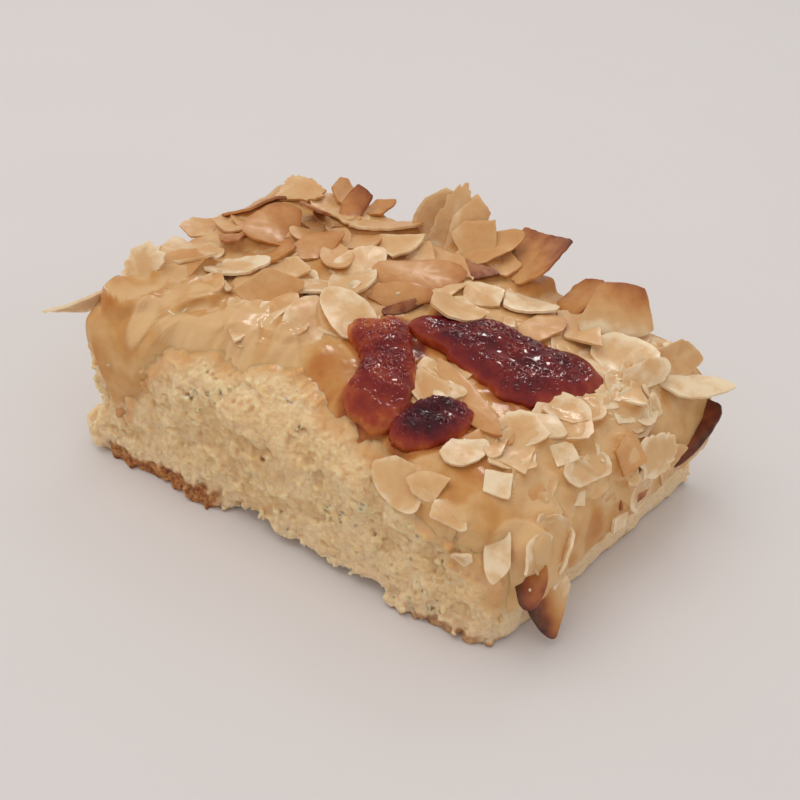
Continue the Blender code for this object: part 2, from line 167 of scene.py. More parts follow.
def skinNormal(c, y):
    along = skin(c + 0.01, y) - skin(c - 0.01, y)
    back = skin(c, y + 0.5) - skin(c, y - 0.5)
    n = np.cross(along, back)
    return n / np.linalg.norm(n, axis=-1, keepdims=True)


def bedBorder(x):
    # the bed stops short of the front edge on the left and reaches it on the right
    return 1.0 + 7.5 * (1 - smooth((x - 46) / 16)) + 1.8 * wobbleAll(x, 0, scale=9, seed=7)


def bedHeight(x, y):
    lumps = wobbleAll(x, y, scale=9, seed=2) + 0.5 * wobbleAll(x, y, scale=4.5, seed=5)
    return bed["thickness"] + bed["lumps"] * lumps


def meshPiece(name, points, faces, material):
    # a named piece on the root body, moved from the plan in mm to the frame in metres
    mesh = bpy.data.meshes.new(name)
    points = (np.asarray(points, dtype=float) - (planCentre[0], planCentre[1], 0)) * 0.001
    mesh.from_pydata(points.tolist(), [], faces)
    mesh.update()
    mesh.shade_smooth()
    mesh.materials.append(material)
    piece = bpy.data.objects.new(name, mesh)
    bpy.context.scene.collection.objects.link(piece)
    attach(piece, "root")
    return piece


def setAttribute(piece, name, values):
    attribute = piece.data.attributes.new(name, "FLOAT", "POINT")
    attribute.data.foreach_set("value", np.asarray(values, dtype=np.float32).ravel())


def planPoints(piece):
    flat = np.empty(len(piece.data.vertices) * 3, dtype=np.float32)
    piece.data.vertices.foreach_get("co", flat)
    return flat.reshape(-1, 3) * 1000 + (planCentre[0], planCentre[1], 0)


def colour(hexCode):
    # sRGB hex to the linear values that sockets hold
    channels = [int(hexCode[i : i + 2], 16) / 255 for i in (1, 3, 5)]
    return (*[c / 12.92 if c <= 0.04045 else ((c + 0.055) / 1.055) ** 2.4 for c in channels], 1.0)


def addNode(tree, kind, inputs=None, stops=(), out=0, **settings):
    # inputs are values or links, stops fill a colour ramp, out is the socket that it returns
    node = tree.nodes.new("ShaderNode" + kind)
    for name, value in settings.items():
        setattr(node, name, value)
    for name, value in (inputs or {}).items():
        if isinstance(value, bpy.types.NodeSocket):
            tree.links.new(value, node.inputs[name])
        else:
            node.inputs[name].default_value = value
    if stops:
        elements = node.color_ramp.elements
        for _ in stops[2:]:
            elements.new(0.5)
        for element, (position, hexCode) in zip(elements, stops):
            element.position = position
            element.color = colour(hexCode)
    return node.outputs[out] if node.outputs else None


def newMaterial(name):
    # an empty material, and addNode for its own tree
    material = bpy.data.materials.new(name)
    material.use_nodes = True
    material.node_tree.nodes.clear()
    return material, partial(addNode, material.node_tree)


def finishMaterial(add, inputs, finish):
    # the shader and its output: finish holds what is the same all over the surface
    add("OutputMaterial", {"Surface": add("BsdfPrincipled", {**inputs, **finish})})


def perMm(size):
    # texture scale in object space for a pattern of this many millimetres
    return 1000 / size


def cloudedTone(add, place, amount, cloudSize, cloudDetail, lowest, highest, stops):
    # a ramp read at an attribute's amount, which soft clouds shift down and up
    cloud = add("TexNoise", {"Vector": place, "Scale": perMm(cloudSize), "Detail": cloudDetail})
    spread = {"From Min": 0.3, "From Max": 0.7, "To Min": lowest, "To Max": highest}
    shift = add("MapRange", {"Value": cloud, **spread})
    level = add("Math", {0: amount, 1: shift}, operation="ADD", use_clamp=True)
    return add("ValToRGB", {"Fac": level}, stops)


crumbLook = {
    "tone": ((0.25, "#e5c290"), (0.5, "#ecce9f"), (0.75, "#f2d8af")),
    # painted shade: the darker colour put into pores, tears and the seams between grains
    "paintedPitShade": "#d3a468",
    "grey": "#ecd0aa",
    "soaked": ((0.2, "#d39d61"), (0.5, "#ddae75"), (0.8, "#e5bc8c")),
    "crust": ((0.3, "#6e3015"), (0.48, "#9a5a2b"), (0.7, "#c8935a")),
    "finish": {
        "IOR": 1.42,
        "Subsurface Weight": 0.9,
        "Subsurface Radius": (1.0, 0.75, 0.45),
        "Subsurface Scale": 0.0025,  # how far light wanders in the crumb, m
    },
}

# baked sponge crumb: matte and soft, with a wet sheen where syrup has soaked in, and painted shade in its
# pores and between its grains
crumbMaterial, add = newMaterial("butter cake crumb, open and moist")
place = add("TexCoord", out="Object")
painted = ("paintedPitShade", "soak", "crust", "low")
paintedPitShade, soak, crust, low = (add("Attribute", out="Fac", attribute_name=name) for name in painted)
patches, specks = (add("TexNoise", {"Vector": place, "Scale": perMm(mm), "Detail": 4.0}) for mm in (5, 1.3))
fine = add("TexNoise", {"Vector": place, "Scale": perMm(0.45), "Detail": 5.0, "Roughness": 0.7})
bent = add("TexNoise", {"Vector": place, "Scale": perMm(1.6), "Detail": 2.0}, out="Color")
bent = add("Mix", {0: 0.0012, 4: place, 5: bent}, out=1, data_type="VECTOR")
grains = add("TexVoronoi", {"Vector": bent, "Scale": perMm(0.95)})
tone = add("ValToRGB", {"Fac": patches}, crumbLook["tone"])
wet = add("ValToRGB", {"Fac": patches}, crumbLook["soaked"])
brown = add("ValToRGB", {"Fac": specks}, crumbLook["crust"])
# painted shade in the grooves between crumb grains, weaker where syrup has soaked in
seamShadeStrength = add("MapRange", {"Value": soak, "To Min": 0.35, "To Max": 0.06})
seamShade = add("MapRange", {"Value": grains, "From Min": 0.45, "From Max": 0.85, "To Max": seamShadeStrength})
# painted shade: pores and the seams between grains are mixed towards the darker colour
dark = colour(crumbLook["paintedPitShade"])
coats = ((low, colour(crumbLook["grey"])), (paintedPitShade, dark), (soak, wet), (crust, brown), (seamShade, dark))
body = tone
for share, over in coats:
    body = add("Mix", {0: share, 6: body, 7: over}, out=2, data_type="RGBA")
rough = add("MapRange", {"Value": soak, "To Min": 0.55, "To Max": 0.15})
bump = add("Bump", {"Height": fine, "Strength": rough, "Distance": 0.0004})
relief = {"Height": grains, "Strength": rough, "Distance": 0.0005, "Normal": bump}
bump = add("Bump", relief, invert=True)
roughness = add("MapRange", {"Value": soak, "To Min": 0.7, "To Max": 0.3})
finishMaterial(add, {"Base Color": body, "Roughness": roughness, "Normal": bump}, crumbLook["finish"])

glazeLook = {
    "cooked": ((0.0, "#dcb27c"), (0.25, "#cb9455"), (0.5, "#bb773a"), (0.75, "#8a381b"), (1.0, "#571411")),
    "overFlake": "#e0b987",
    "finish": {
        "Roughness": 0.3,
        "IOR": 1.47,
        "Specular IOR Level": 0.18,
        "Subsurface Weight": 0.4,
        "Subsurface Radius": (1.0, 0.7, 0.45),
        "Subsurface Scale": 0.0008,
        "Coat Weight": 0.15,
        "Coat Roughness": 0.1,
    },
}

# butter and sugar boiled with cream: sticky, half clear, with a bright wet gloss
glazeMaterial, add = newMaterial("butter and sugar glaze, set and sticky")
place = add("TexCoord", out="Object")
cook, under = (add("Attribute", out="Fac", attribute_name=n) for n in ("cook", "under"))
cooked = cloudedTone(add, place, cook, 6, 4.0, -0.16, 0.16, glazeLook["cooked"])
pale = colour(glazeLook["overFlake"])
body = add("Mix", {0: under, 6: cooked, 7: pale}, out=2, data_type="RGBA")
ripples = add("TexNoise", {"Vector": place, "Scale": perMm(1.4), "Detail": 4.0})
bump = add("Bump", {"Height": ripples, "Strength": 0.35, "Distance": 0.0004})
finishMaterial(add, {"Base Color": body, "Normal": bump}, glazeLook["finish"])

almondLook = {
    "toast": (
        (0.0, "#efd8b3"),
        (0.1, "#deb682"),
        (0.28, "#d4a067"),
        (0.5, "#bf7d3e"),
        (0.7, "#944a24"),
        (0.85, "#672616"),
        (1.0, "#3e120e"),
    ),
    "honey": "#d1975a",
    "finish": {
        "IOR": 1.46,
        "Subsurface Weight": 0.25,
        "Subsurface Radius": (1.0, 0.8, 0.6),
        "Subsurface Scale": 0.0005,
        "Coat Weight": 0.05,
        "Coat Roughness": 0.15,
    },
}

# blanched almond slices, oven toasted: waxy, with fine fibres and syrup dried on them
almondMaterial, add = newMaterial("flaked almond, toasted and glazed")
place = add("TexCoord", out="Object")
toast, honey = (add("Attribute", out="Fac", attribute_name=n) for n in ("toast", "honey"))
toasted = cloudedTone(add, place, toast, 4, 5.0, -0.08, 0.09, almondLook["toast"])
film = add("TexNoise", {"Vector": place, "Scale": perMm(3), "Detail": 3.0})
film = add("MapRange", {"Value": film, "From Min": 0.35, "From Max": 0.6})
coated = add("Math", {0: honey, 1: film}, operation="MULTIPLY")
syrup = colour(almondLook["honey"])
body = add("Mix", {0: coated, 6: toasted, 7: syrup}, out=2, data_type="RGBA")
fibres = add("TexNoise", {"Vector": place, "Scale": perMm(0.8), "Detail": 4.0})
bump = add("Bump", {"Height": fibres, "Strength": 0.3, "Distance": 0.00025})
sheen = add("MapRange", {"Value": film, "To Min": 0.6, "To Max": 0.4})
finishMaterial(add, {"Base Color": body, "Roughness": sheen, "Normal": bump}, almondLook["finish"])

caramelLook = {
    "cooked": ((0.0, "#c07034"), (0.22, "#9a3b1f"), (0.48, "#7c1f1a"), (0.78, "#561019"), (1.0, "#330911")),
    "finish": {
        "Roughness": 0.14,
        "IOR": 1.48,
        "Specular IOR Level": 0.22,
        "Subsurface Weight": 0.2,
        "Subsurface Radius": (1.0, 0.3, 0.12),
        "Subsurface Scale": 0.0012,
        "Coat Weight": 0.15,
        "Coat Roughness": 0.06,
    },
}

# sugar boiled nearly to burning: glassy and dark, amber where thin, pocked by bubbles
caramelMaterial, add = newMaterial("boiled caramel, dark and glassy")
place = add("TexCoord", out="Object")
cook = add("Attribute", out="Fac", attribute_name="cook")
cooked = cloudedTone(add, place, cook, 3.5, 4.0, -0.16, 0.16, caramelLook["cooked"])
foam = add("TexVoronoi", {"Vector": place, "Scale": perMm(0.7)}, feature="SMOOTH_F1")
bump = add("Bump", {"Height": foam, "Strength": 0.04, "Distance": 0.0002}, invert=True)
finishMaterial(add, {"Base Color": cooked, "Normal": bump}, caramelLook["finish"])
print("materials made")

crumb = {
    "cell": 0.5,  # spacing of the crumb's lattice, mm
    "mostTriangles": 195000,
    "cutCrags": 1.5,
    "bakedCrags": 0.6,
    "clumps": (2.7, 0.42),  # size and height, mm
    "granules": (1.25, 0.6),
    "tears": (7.0, 0.8),
    "pores": (2300, 0.25, 0.62),  # how many, smallest and largest radius
    "looseGrains": (1100, 0.4, 0.9),
    "seed": 4,
}

# where the glaze starts, in mm back from the top edge of the long cut, or down it below zero
glazeRun = {
    "x": (-4, 2.2, 5.2, 8.4, 11, 14.5, 18, 21, 30, 36, 42, 46, 51)
    + (55, 61, 66, 70, 80, 84, 87, 91, 95, 100, 104, 107, 125),
    "start": (-3, -4, -14, -21, -19.5, -13, -5, 2.5, 6.2, 6.4, 9, 11.5, 11.5)
    + (8.6, 6.4, 6.6, 5.2, 4.2, 0.8, -1.5, -3.5, -5, -3.5, 1.5, 1.8, 1.8),
}


def glazeStart(x):
    return np.interp(x, glazeRun["x"], glazeRun["start"])


def glazeBorder(x):
    return np.maximum(glazeStart(x), 0.8)


def soakAt(p):
    # 1 where glaze has soaked in, 0 in dry crumb
    x, y, z = p.T
    ragged = 1.7 * grain(p, 5, 31) + 0.9 * grain(p, 2.0, 32)
    run = glazeStart(x)
    lowest = np.where(run < 0, crumbTop(x, 0.0) + run - 1.2, 60)
    front = smooth((z + ragged - lowest + 0.8) / 3) * (1 - smooth((y - 3) / 3))
    band = smooth((z - crumbTop(x, y) + 3.4 + ragged) / 2.2)
    rim = smooth((y + 0.9 * ragged - glazeBorder(x) + 2.4) / 3.4) * band
    baked = smooth((x - bakedSide(y) + 5) / 2) * smooth((z + ragged - 9.5) / 2.5)
    return np.maximum(np.maximum(front, rim), baked)


def roundedMin(a, b, radius):
    inner = radius - np.hypot(radius - a, radius - b)
    return np.where((a < radius) & (b < radius), inner, np.minimum(a, b))


def coarseWobble(axes, scale, seed, step=2.4):
    # the wobble noise read on a coarse lattice and blended between its points
    lines = [np.arange(a[0] - step, a[-1] + 2 * step, step) for a in axes]
    grid = np.meshgrid(*lines, indexing="ij")
    values = wobbleAll(grid[0], grid[1], grid[2], scale, seed).astype(np.float32)
    for side, (axis, line) in enumerate(zip(axes, lines)):
        spot = (axis - line[0]) / step
        low = np.floor(spot).astype(int)
        shape = [1, 1, 1]
        shape[side] = len(axis)
        part = (spot - low).reshape(shape).astype(np.float32)
        values = np.take(values, low, side) * (1 - part) + np.take(values, low + 1, side) * part
    return values


def stampBalls(field, shell, what, cell, rng, dig):
    # digs round pores out of the lattice, or adds round grains to it
    count, small, large = crumb[what]
    radii = small + (large - small) * rng.random(count) ** 2
    centres = shell[rng.integers(0, len(shell), count)]
    for centre, r in zip(centres, radii):
        stretch = rng.uniform(0.75, 1.4, 3)
        offset = rng.uniform(-0.5, 0.5, 3)
        n = int(r * 1.4 / cell) + 2
        low = np.maximum(centre - n, 0)
        high = np.minimum(centre + n + 1, field.shape)
        gx, gy, gz = [np.arange(a, b) - c - o for a, b, c, o in zip(low, high, centre, offset)]
        qx, qy, qz = (gx / stretch[0]) ** 2, (gy / stretch[1]) ** 2, (gz / stretch[2]) ** 2
        ball = (np.sqrt(qx[:, None, None] + qy[:, None] + qz) * cell - r).astype(np.float32)
        window = field[low[0] : high[0], low[1] : high[1], low[2] : high[2]]
        if dig:
            np.minimum(window, ball, out=window)
        else:
            np.maximum(window, -ball, out=window)


def raised(plane):
    # a value for each column of the lattice, ready to spread up it
    return plane[:, :, None].astype(np.float32)


def crumbField(cell):
    # above zero inside the crumb, about in mm from its surface
    ax = np.arange(-8.3, 123, cell)
    ay = np.arange(-5.3, 77, cell)
    az = np.arange(-0.7 * cell, 42, cell)
    x2, y2 = np.meshgrid(ax, ay, indexing="ij")
    top2 = crumbTop(x2, y2)
    gx, gy = np.gradient(top2, cell)
    slope2 = np.sqrt(1 + np.clip(gx, -3, 3) ** 2 + gy**2)
    radius = np.where((x2 > 50) & (y2 < 40), cake["bakedCornerRadius"], cake["cornerRadius"])
    side2 = roundedMin(np.minimum(x2, bakedSide(y2) - x2), np.minimum(y2, cake["depth"] - y2), radius)
    start, end, reach, rise = cake["undercut"]
    wave = 1.5 * wobbleAll(ax, 0, scale=7, seed=3)[:, None]
    under2 = rise * between(x2, start, end) * (1 - smooth((y2 - 1 + wave) / reach))
    z3 = az[None, None, :].astype(np.float32)
    top3 = ((top2 / slope2)[:, :, None] - z3 / slope2[:, :, None]).astype(np.float32)
    base3 = z3 - raised(under2)
    block = roundedMin(roundedMin(top3, raised(side2), 1.6), base3, 0.8).astype(np.float32)

    near = np.minimum(np.minimum(x2, y2), cake["depth"] - y2)  # how far from the cut sides
    cut3 = raised(1 - smooth((near - 1) / 4)) * (1 - smooth((1.5 - top3) / 3))
    size3 = crumb["bakedCrags"] + (crumb["cutCrags"] - crumb["bakedCrags"]) * cut3
    axes = (ax, ay, az)
    field = block + size3 * (coarseWobble(axes, 6.5, 1.7) + 0.6 * coarseWobble(axes, 3.1, 4.2, 1.6))
    front3 = raised(1 - smooth(y2 / 6))
    start, end, high, reach = cake["crustLedge"]
    field += front3 * reach * raised(between(x2, start, end)) * (1 - smooth(z3 / high))
    bx, bz, wide, tall, reach = cake["stepBump"]
    field += front3 * reach * hill(x2[:, :, None], z3, bx, bz, wide, tall)
    ky, kz, wide, tall, reach = cake["looseKnob"]
    field += raised(1 - smooth(x2 / 5)) * reach * hill(y2[:, :, None], z3, ky, kz, wide, tall)
    field = field.astype(np.float32)
    plain = field.copy()

    close = np.argwhere(np.abs(field) < 3.0)
    spots = (close * cell + (ax[0], ay[0], az[0])).astype(np.float32)
    x, y, z = spots.T
    ix, iy, iz = close.T
    bare = 1 - smooth((y - glazeBorder(x) - 1.5) / 2.5)
    cut = np.maximum(cut3[ix, iy, iz], bare)
    warped = spots + np.float32(0.5) * np.stack([grain(spots, 2.0, s) for s in (51, 52, 53)], axis=1)
    size, height = crumb["clumps"]
    rough = height * (1.7 * np.abs(grain(warped, size, 21)) - 0.55)
    size, height = crumb["granules"]
    rough += height * (1.7 * np.abs(grain(warped, size, 22)) - 0.55)
    size, height = crumb["tears"]
    tear = grain(spots * np.float32((1, 1, 1.5)), size, 23) + 0.35 * grain(spots, 2.4, 24)
    rough -= height * smooth((tear - 0.2) / 0.12)
    ragged = np.maximum(1 - smooth(z / 5), smooth((4 - x) / 3) * smooth((15 - z) / 4))
    rough += 0.8 * ragged * grain(spots, 1.7, 25)
    covered = smooth((y - glazeBorder(x) - 3.6) / 3) * smooth((cake["depth"] - 2 - y) / 2)
    covered *= smooth((x - 1.5) / 2)
    topNear = smooth((2.2 - top3[ix, iy, iz]) / 1.0)
    covered *= np.maximum(topNear, smooth((z - 10) / 3) * smooth((x - 95) / 4))
    keep = (0.3 + 0.7 * cut) * (1 - 0.3 * soakAt(spots)) * (1 - covered)
    field[ix, iy, iz] += (rough * keep).astype(np.float32)

    rng = np.random.default_rng(crumb["seed"])
    dry = (keep > 0.6) & (np.abs(plain[ix, iy, iz]) < 0.9)
    weight = smooth(grain(spots[dry], 9, 26) * 1.4 + 0.55)
    shell = close[dry][rng.random(dry.sum()) < weight]
    stampBalls(field, shell, "pores", cell, rng, True)
    edge = dry & (field[ix, iy, iz] > -0.1) & (field[ix, iy, iz] < 0.35)
    edge &= rng.random(len(edge)) < 0.25 + 0.75 * (1 - smooth((z - 1) / 6))
    stampBalls(field, close[edge], "looseGrains", cell, rng, False)
    return np.minimum(field, z3), plain, np.array((ax[0], ay[0], az[0]))


def surfaceNet(field, origin, cell):
    # one point in each lattice cell that the surface crosses, joined into quads
    inside = field > 0
    nx, ny, nz = np.array(field.shape) - 1
    corners = [(i, j, k) for i in (0, 1) for j in (0, 1) for k in (0, 1)]
    count = sum(inside[i : nx + i, j : ny + j, k : nz + k].astype(np.int8) for i, j, k in corners)
    cells = np.argwhere((count > 0) & (count < 8))
    number = np.full((nx, ny, nz), -1, dtype=np.int32)
    number[tuple(cells.T)] = np.arange(len(cells))
    total = np.zeros((len(cells), 3))
    hits = np.zeros(len(cells))
    for a in corners:
        for side in range(3):
            if a[side]:
                continue
            b = tuple(1 if s == side else a[s] for s in range(3))
            fa = field[tuple((cells + a).T)]
            fb = field[tuple((cells + b).T)]
            cross = (fa > 0) != (fb > 0)
            spot = np.tile(np.array(a, dtype=float), (cross.sum(), 1))
            spot[:, side] = fa[cross] / (fa[cross] - fb[cross])
            total[cross] += spot
            hits[cross] += 1
    points = origin + (cells + total / hits[:, None]) * cell
    quads = []
    for side in range(3):
        u, v = [s for s in range(3) if s != side]
        low = [slice(1, -1)] * 3
        low[side] = slice(0, -1)
        high = list(low)
        high[side] = slice(1, None)
        a = inside[tuple(low)]
        b = inside[tuple(high)]
        for flip, mask in ((side == 1, a & ~b), (side != 1, ~a & b)):
            base = np.argwhere(mask)
            base[:, u] += 1
            base[:, v] += 1
            ring = []
            for du, dv in ((1, 1), (0, 1), (0, 0), (1, 0)):
                at = base.copy()
                at[:, u] -= du
                at[:, v] -= dv
                ring.append(number[tuple(at.T)])
            quad = np.stack(ring, axis=1)
            quads.append(quad[:, ::-1] if flip else quad)
    return points, np.concatenate(quads)


def largestPart(points, quads):
    # leaves out specks and closed hollows that the main surface doesn't touch
    label = np.arange(len(points))
    while True:
        least = label[quads].min(axis=1)
        lower = label.copy()
        for k in range(4):
            np.minimum.at(lower, quads[:, k], least)
        lower = lower[lower]
        if (lower == label).all():
            break
        label = lower
    mainLabel = np.bincount(label).argmax()
    kept = label == mainLabel
    renumber = np.cumsum(kept) - 1
    return points[kept], renumber[quads[kept[quads[:, 0]]]]


def sample(values, origin, cell, points):
    # lattice values blended between the eight points round each spot
    place = np.clip((points - origin) / cell, 0, np.array(values.shape) - 1.001)
    base = np.floor(place).astype(int)
    part = place - base
    total = np.zeros(len(points))
    for corner in np.ndindex(2, 2, 2):
        ix, iy, iz = (base + corner).T
        total += np.abs(1 - np.array(corner) - part).prod(axis=1) * values[ix, iy, iz]
    return total


def thinned(piece, mostTriangles):
    # drops triangles where the surface is flat, the base first
    triangles = sum(len(face.vertices) - 2 for face in piece.data.polygons)
    if triangles <= mostTriangles:
        return
    decimate = piece.modifiers.new("thin", "DECIMATE")
    decimate.ratio = mostTriangles / triangles
    graph = bpy.context.evaluated_depsgraph_get()
    mesh = bpy.data.meshes.new_from_object(piece.evaluated_get(graph))
    piece.modifiers.clear()
    piece.data = mesh


field, plainField, origin = crumbField(crumb["cell"])
points, quads = largestPart(*surfaceNet(field, origin, crumb["cell"]))
crumbPiece = meshPiece("crumb_body", points, quads.tolist(), crumbMaterial)
thinned(crumbPiece, crumb["mostTriangles"])
spots = planPoints(crumbPiece).astype(np.float32)
depthHere = sample(plainField, origin, crumb["cell"], spots)
# painted shade: the deeper a point lies below the plain block surface, in pores and tears, the darker it is
# painted
setAttribute(crumbPiece, "paintedPitShade", smooth((depthHere - 0.2) / 1.9) * 0.85)
setAttribute(crumbPiece, "soak", soakAt(spots))
setAttribute(crumbPiece, "low", 1 - smooth((spots[:, 2] + 2 * grain(spots, 6, 33)) / 11))

# the oven browned the base: thicker at the left of the long cut, paler by its right end
ragged = grain(spots, 3.5, 34) + 0.6 * grain(spots, 1.6, 35)
browned = 0.8 * (1 - smooth((spots[:, 2] - 0.4 - 0.5 * ragged) / 0.8))
x, y, z = spots.T
thickCrust = between(x, 3, 38, 2) * (1 - smooth((z - 3.4 - 1.7 * ragged) / 1.0))
paleCrust = 0.75 * between(x, 87, 104, 2) * (1 - smooth((z - 1.8 - 0.9 * ragged) / 0.9))
browned = np.maximum(browned, np.maximum(thickCrust, paleCrust) * (1 - smooth((y - 4) / 3)))
setAttribute(crumbPiece, "crust", browned)
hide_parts("crumb")
print("crumb made:", len(crumbPiece.data.polygons), "faces")

almonds = {
    "thickness": 0.8,
    "scatterPitch": 10.0,
    "scatterLength": (11.0, 18.0),
    "scatterSlim": (0.5, 0.72),
    "scatterSeed": 11,
    "sides": 48,
    "bite": 0.45,  # mm that a flake's lowest point sinks into the bed
    "wetHoney": 0.15,  # glaze creeps over the flakes that have more honey than this
    "creaseAngle": 48,
}

# x, y, heading, tip pitch, roll, length, width, extra lift, toast, toast at the tip, honey, kind
laidFlakes = (
    (4, 17, 20, 8, 50, 13, 9, 0.5, 0.02, 0, 0.1, "ragged"),
    (10, 21, 75, 10, 18, 15, 10, 0.4, 0.25, 0.1, 0.8, "shard"),
    (19, 31, 45, 4, -12, 20, 8, 1.6, 0, 0, 0, "ragged"),
    (11, 40, 60, 6, -20, 12, 9, 0.8, 0.55, 0.1, 0.5, "shard"),
    (5, 54, 30, 12, -24, 17, 12, 1, 0.45, 0.15, 0.7, "almond"),
    (-1, 42, 80, 6, 34, 11, 8, 0, 0.1, 0.1, 0.6, "shard"),
    (8, 66, 15, 10, 14, 14, 10, 0.5, 0.15, 0.15, 0.3, "ragged"),
    (32, 15, 120, 2, 4, 15, 8.5, -0.8, 0.06, 0, 0.6, "almond"),
    (36, 23, 105, 4, -8, 15, 8, -0.3, 0.1, 0, 0.7, "almond"),
    (42, 24, 115, 5, 10, 16, 9, 0, 0.06, 0.05, 0.5, "almond"),
    (29, 27, 45, 4, 38, 20, 8, -0.6, 0.2, 0.15, 0.8, "shard"),
    (38, 36, 20, 8, -10, 18, 14, 1.6, 0.02, 0, 0.1, "shard"),
    (40, 48, 90, 10, 8, 17, 12, 1.6, 0.05, 0.05, 0.3, "shard"),
    (52, 53, 40, 6, 18, 22, 11, 2, 0.38, 0.12, 0.4, "almond"),
    (54, 43, 35, 6, 30, 18, 8, 1.2, 0.38, 0.2, 0.5, "shard"),
    (24, 69, 95, 34, 10, 13, 7, 1.2, 0.55, 0.15, 0.2, "almond"),
    (27, 72, 60, 26, 8, 12, 6, 1.4, 0.35, 0.05, 0.3, "shard"),
    (17, 72, 150, 30, 10, 12, 8, 0.5, 0.3, 0.1, 0.5, "shard"),
    (33, 66, 20, 10, -14, 20, 11, 1.6, 0.15, 0.1, 0.5, "shard"),
    (52, 64, -12, 6, 24, 24, 8, 2.2, 0.15, 0.1, 0.5, "shard"),
    (44, 73, 75, 54, 34, 19, 9, 1.2, 0.08, 0.08, 0.4, "shard"),
    (48, 71, 95, 60, 24, 20, 9, 1.4, 0.1, 0.1, 0.5, "ragged"),
    (52, 72, 70, 52, 34, 19, 8, 1.4, 0.12, 0.1, 0.5, "shard"),
    (56, 70, 60, 44, 30, 19, 10, 1.4, 0.16, 0.1, 0.5, "shard"),
    (60, 70, 45, 34, 26, 18, 8, 1.2, 0.2, 0.1, 0.4, "almond"),
    (61, 75, 75, 30, 0, 16, 8, 2, 0.58, 0.15, 0.1, "shard"),
    (70, 73, -38, 4, 42, 26, 22, 1.4, 0.47, 0.08, 0.3, "slab"),
    (63, 70, -10, 12, 30, 16, 8, 1.2, 0.2, 0.1, 0.3, "shard"),
    (61, 65, 10, 8, 20, 14, 8, 1, 0.7, 0.1, 0.3, "shard"),
    (76, 61, 5, 8, -8, 16, 9, 1.6, 0, 0, 0, "almond"),
    (67, 57, 15, 8, 16, 14, 7, 1, 0.05, 0, 0.4, "shard"),
    (95.5, 67.5, 42, 8, 46, 21, 14, 0.6, 0.2, 0.3, 0.1, "almond"),
    (85, 71, 60, 40, -10, 16, 10, 1.2, 0.45, 0.1, 0.4, "shard"),
    (101, 59, 40, 6, 6, 15, 13, 1, 0.02, 0, 0, "almond"),
    (104, 52, -20, 8, -10, 13, 9, 0.8, 0.05, 0, 0.3, "shard"),
    (108.5, 66.5, 25, 4, 38, 14, 10, 0.4, 0.1, 0, 0.6, "shard"),
    (99, 37, 60, 6, -8, 16, 10, 0.8, 0.08, 0, 0.5, "shard"),
    (93, 25, 20, 8, 10, 13, 9, 0.8, 0.03, 0, 0.3, "shard"),
    (80.9, 24.9, -24, 2, 10, 26, 6.8, 0, 0.32, 0.1, 0.4, "almond"),
    (87.5, 13.5, 50, 4, 4, 10, 7, 0.2, 0.02, 0, 0.3, "almond"),
    (90, 20, 5, 3, 8, 12, 8, 0.2, 0.3, 0, 0.9, "shard"),
    (95.2, 11.2, 24, 6, 8, 8, 7.6, 1.7, 0, 0, 0, "chip"),
    (100.4, 27.6, 71, 8, -6, 8, 6.6, 2, 0, 0, 0, "chip"),
    (104.2, 24.6, 40, 4, 4, 8, 6.4, 1.9, 0, 0, 0, "chip"),
    (101.7, 15.6, -55, 2, 4, 9, 8.5, 0.3, 0.25, 0, 1, "chip"),
    (95.5, 28.6, 25, 5, 6, 14, 7, 1.2, 0.02, 0, 0.05, "almond"),
    (112.5, 48, 46, 4, 4, 15, 9, 1.2, 0.04, 0, 0.1, "ragged"),
    (80, 3.6, -42, 0, 6, 14, 9, -1.7, 0.1, 0, 0.2, "almond"),
    (86, 4.5, 40, -2, 0, 10, 7, -0.9, 0.1, 0, 0.5, "shard"),
    (92, 2.6, 10, 0, -14, 9, 6, -0.5, 0.05, 0, 0.4, "shard"),
    (109, 40, -30, 8, 16, 12, 8, 0.4, 0.3, 0.1, 0.8, "shard"),
    (105, 57, 70, 20, 24, 13, 8, 0.4, 0.06, 0, 0.3, "shard"),
    (17.6, 11.1, 80, 0, 0, 5.5, 4.4, 1.7, 0, 0, 0, "chip"),
    (55.8, 41.8, 62, 4, 30, 15, 2.4, 0.9, 0.75, 0.1, 0.3, "almond"),
)
# x, y, z, heading, tip pitch, roll, length, width, toast, toast at the tip, honey, toast to one side
hangingFlakes = (
    (-3, 5.4, 35.9, -132, -21, 42, 21, 8, 0, 0, 0, 0),
    (116, 65, 32.2, 44, -8, 10, 20, 6.5, 0, 0, 0, 0),
    (119, 65.8, 21, -99, -46, 14, 22, 7.5, 0.78, 0, 0.1, 0.1),
    (111, 11.8, 8.6, -20, -72, 27, 15, 9.5, 0.5, 0.2, 0.2, -0.72),
    (108.3, 5.8, 17.6, -60, -40, 30, 10.5, 7, 0.74, 0.05, 0.1, -0.15),
    (102.4, 3, 23.4, -70, -52, 6, 10.5, 5.6, 0, 0, 0.1, 0),
    (109.9, 17, 19.3, -70, -30, 70, 12, 6.5, 0.05, 0, 0.6, 0),
    (114.4, 41.8, 18.4, -99, -6, -58, 16, 6, 0.46, 0.1, 0.4, 0.1),
    (115.7, 51.4, 20, -80, 10, -50, 11, 4.6, 0, 0, 0, 0),
)
# glazed pieces that lie on the long cut: x, z, heading in the face, length, width, toast, honey
facedFlakes = (
    (9.2, 16.5, 70, 8.5, 3.4, 0.45, 0.6),
    (96.5, 21.5, 60, 6, 4, 0.02, 0.2),
)

# caramel patches, as lobes of x, y, radius along, radius across, heading
caramelPatches = {
    "caramel_left": (
        (67.8, 12.6, 6.2, 5.7, 20),
        (65.6, 19.6, 8, 5.5, 110),
        (60.5, 26.5, 7, 4.8, 135),
        (54.6, 28.4, 4, 4, 140),
        (59.4, 33.2, 4.4, 2.3, -35),
    ),
    "caramel_right": (
        (67, 39.8, 6.5, 4.2, 35),
        (76.5, 41, 8, 8, 60),
        (87.5, 40, 9.5, 9, 100),
        (95, 46, 6, 5.4, 60),
    ),
    "caramel_flake": ((79.4, 15.2, 8.9, 5.4, 60),),
}


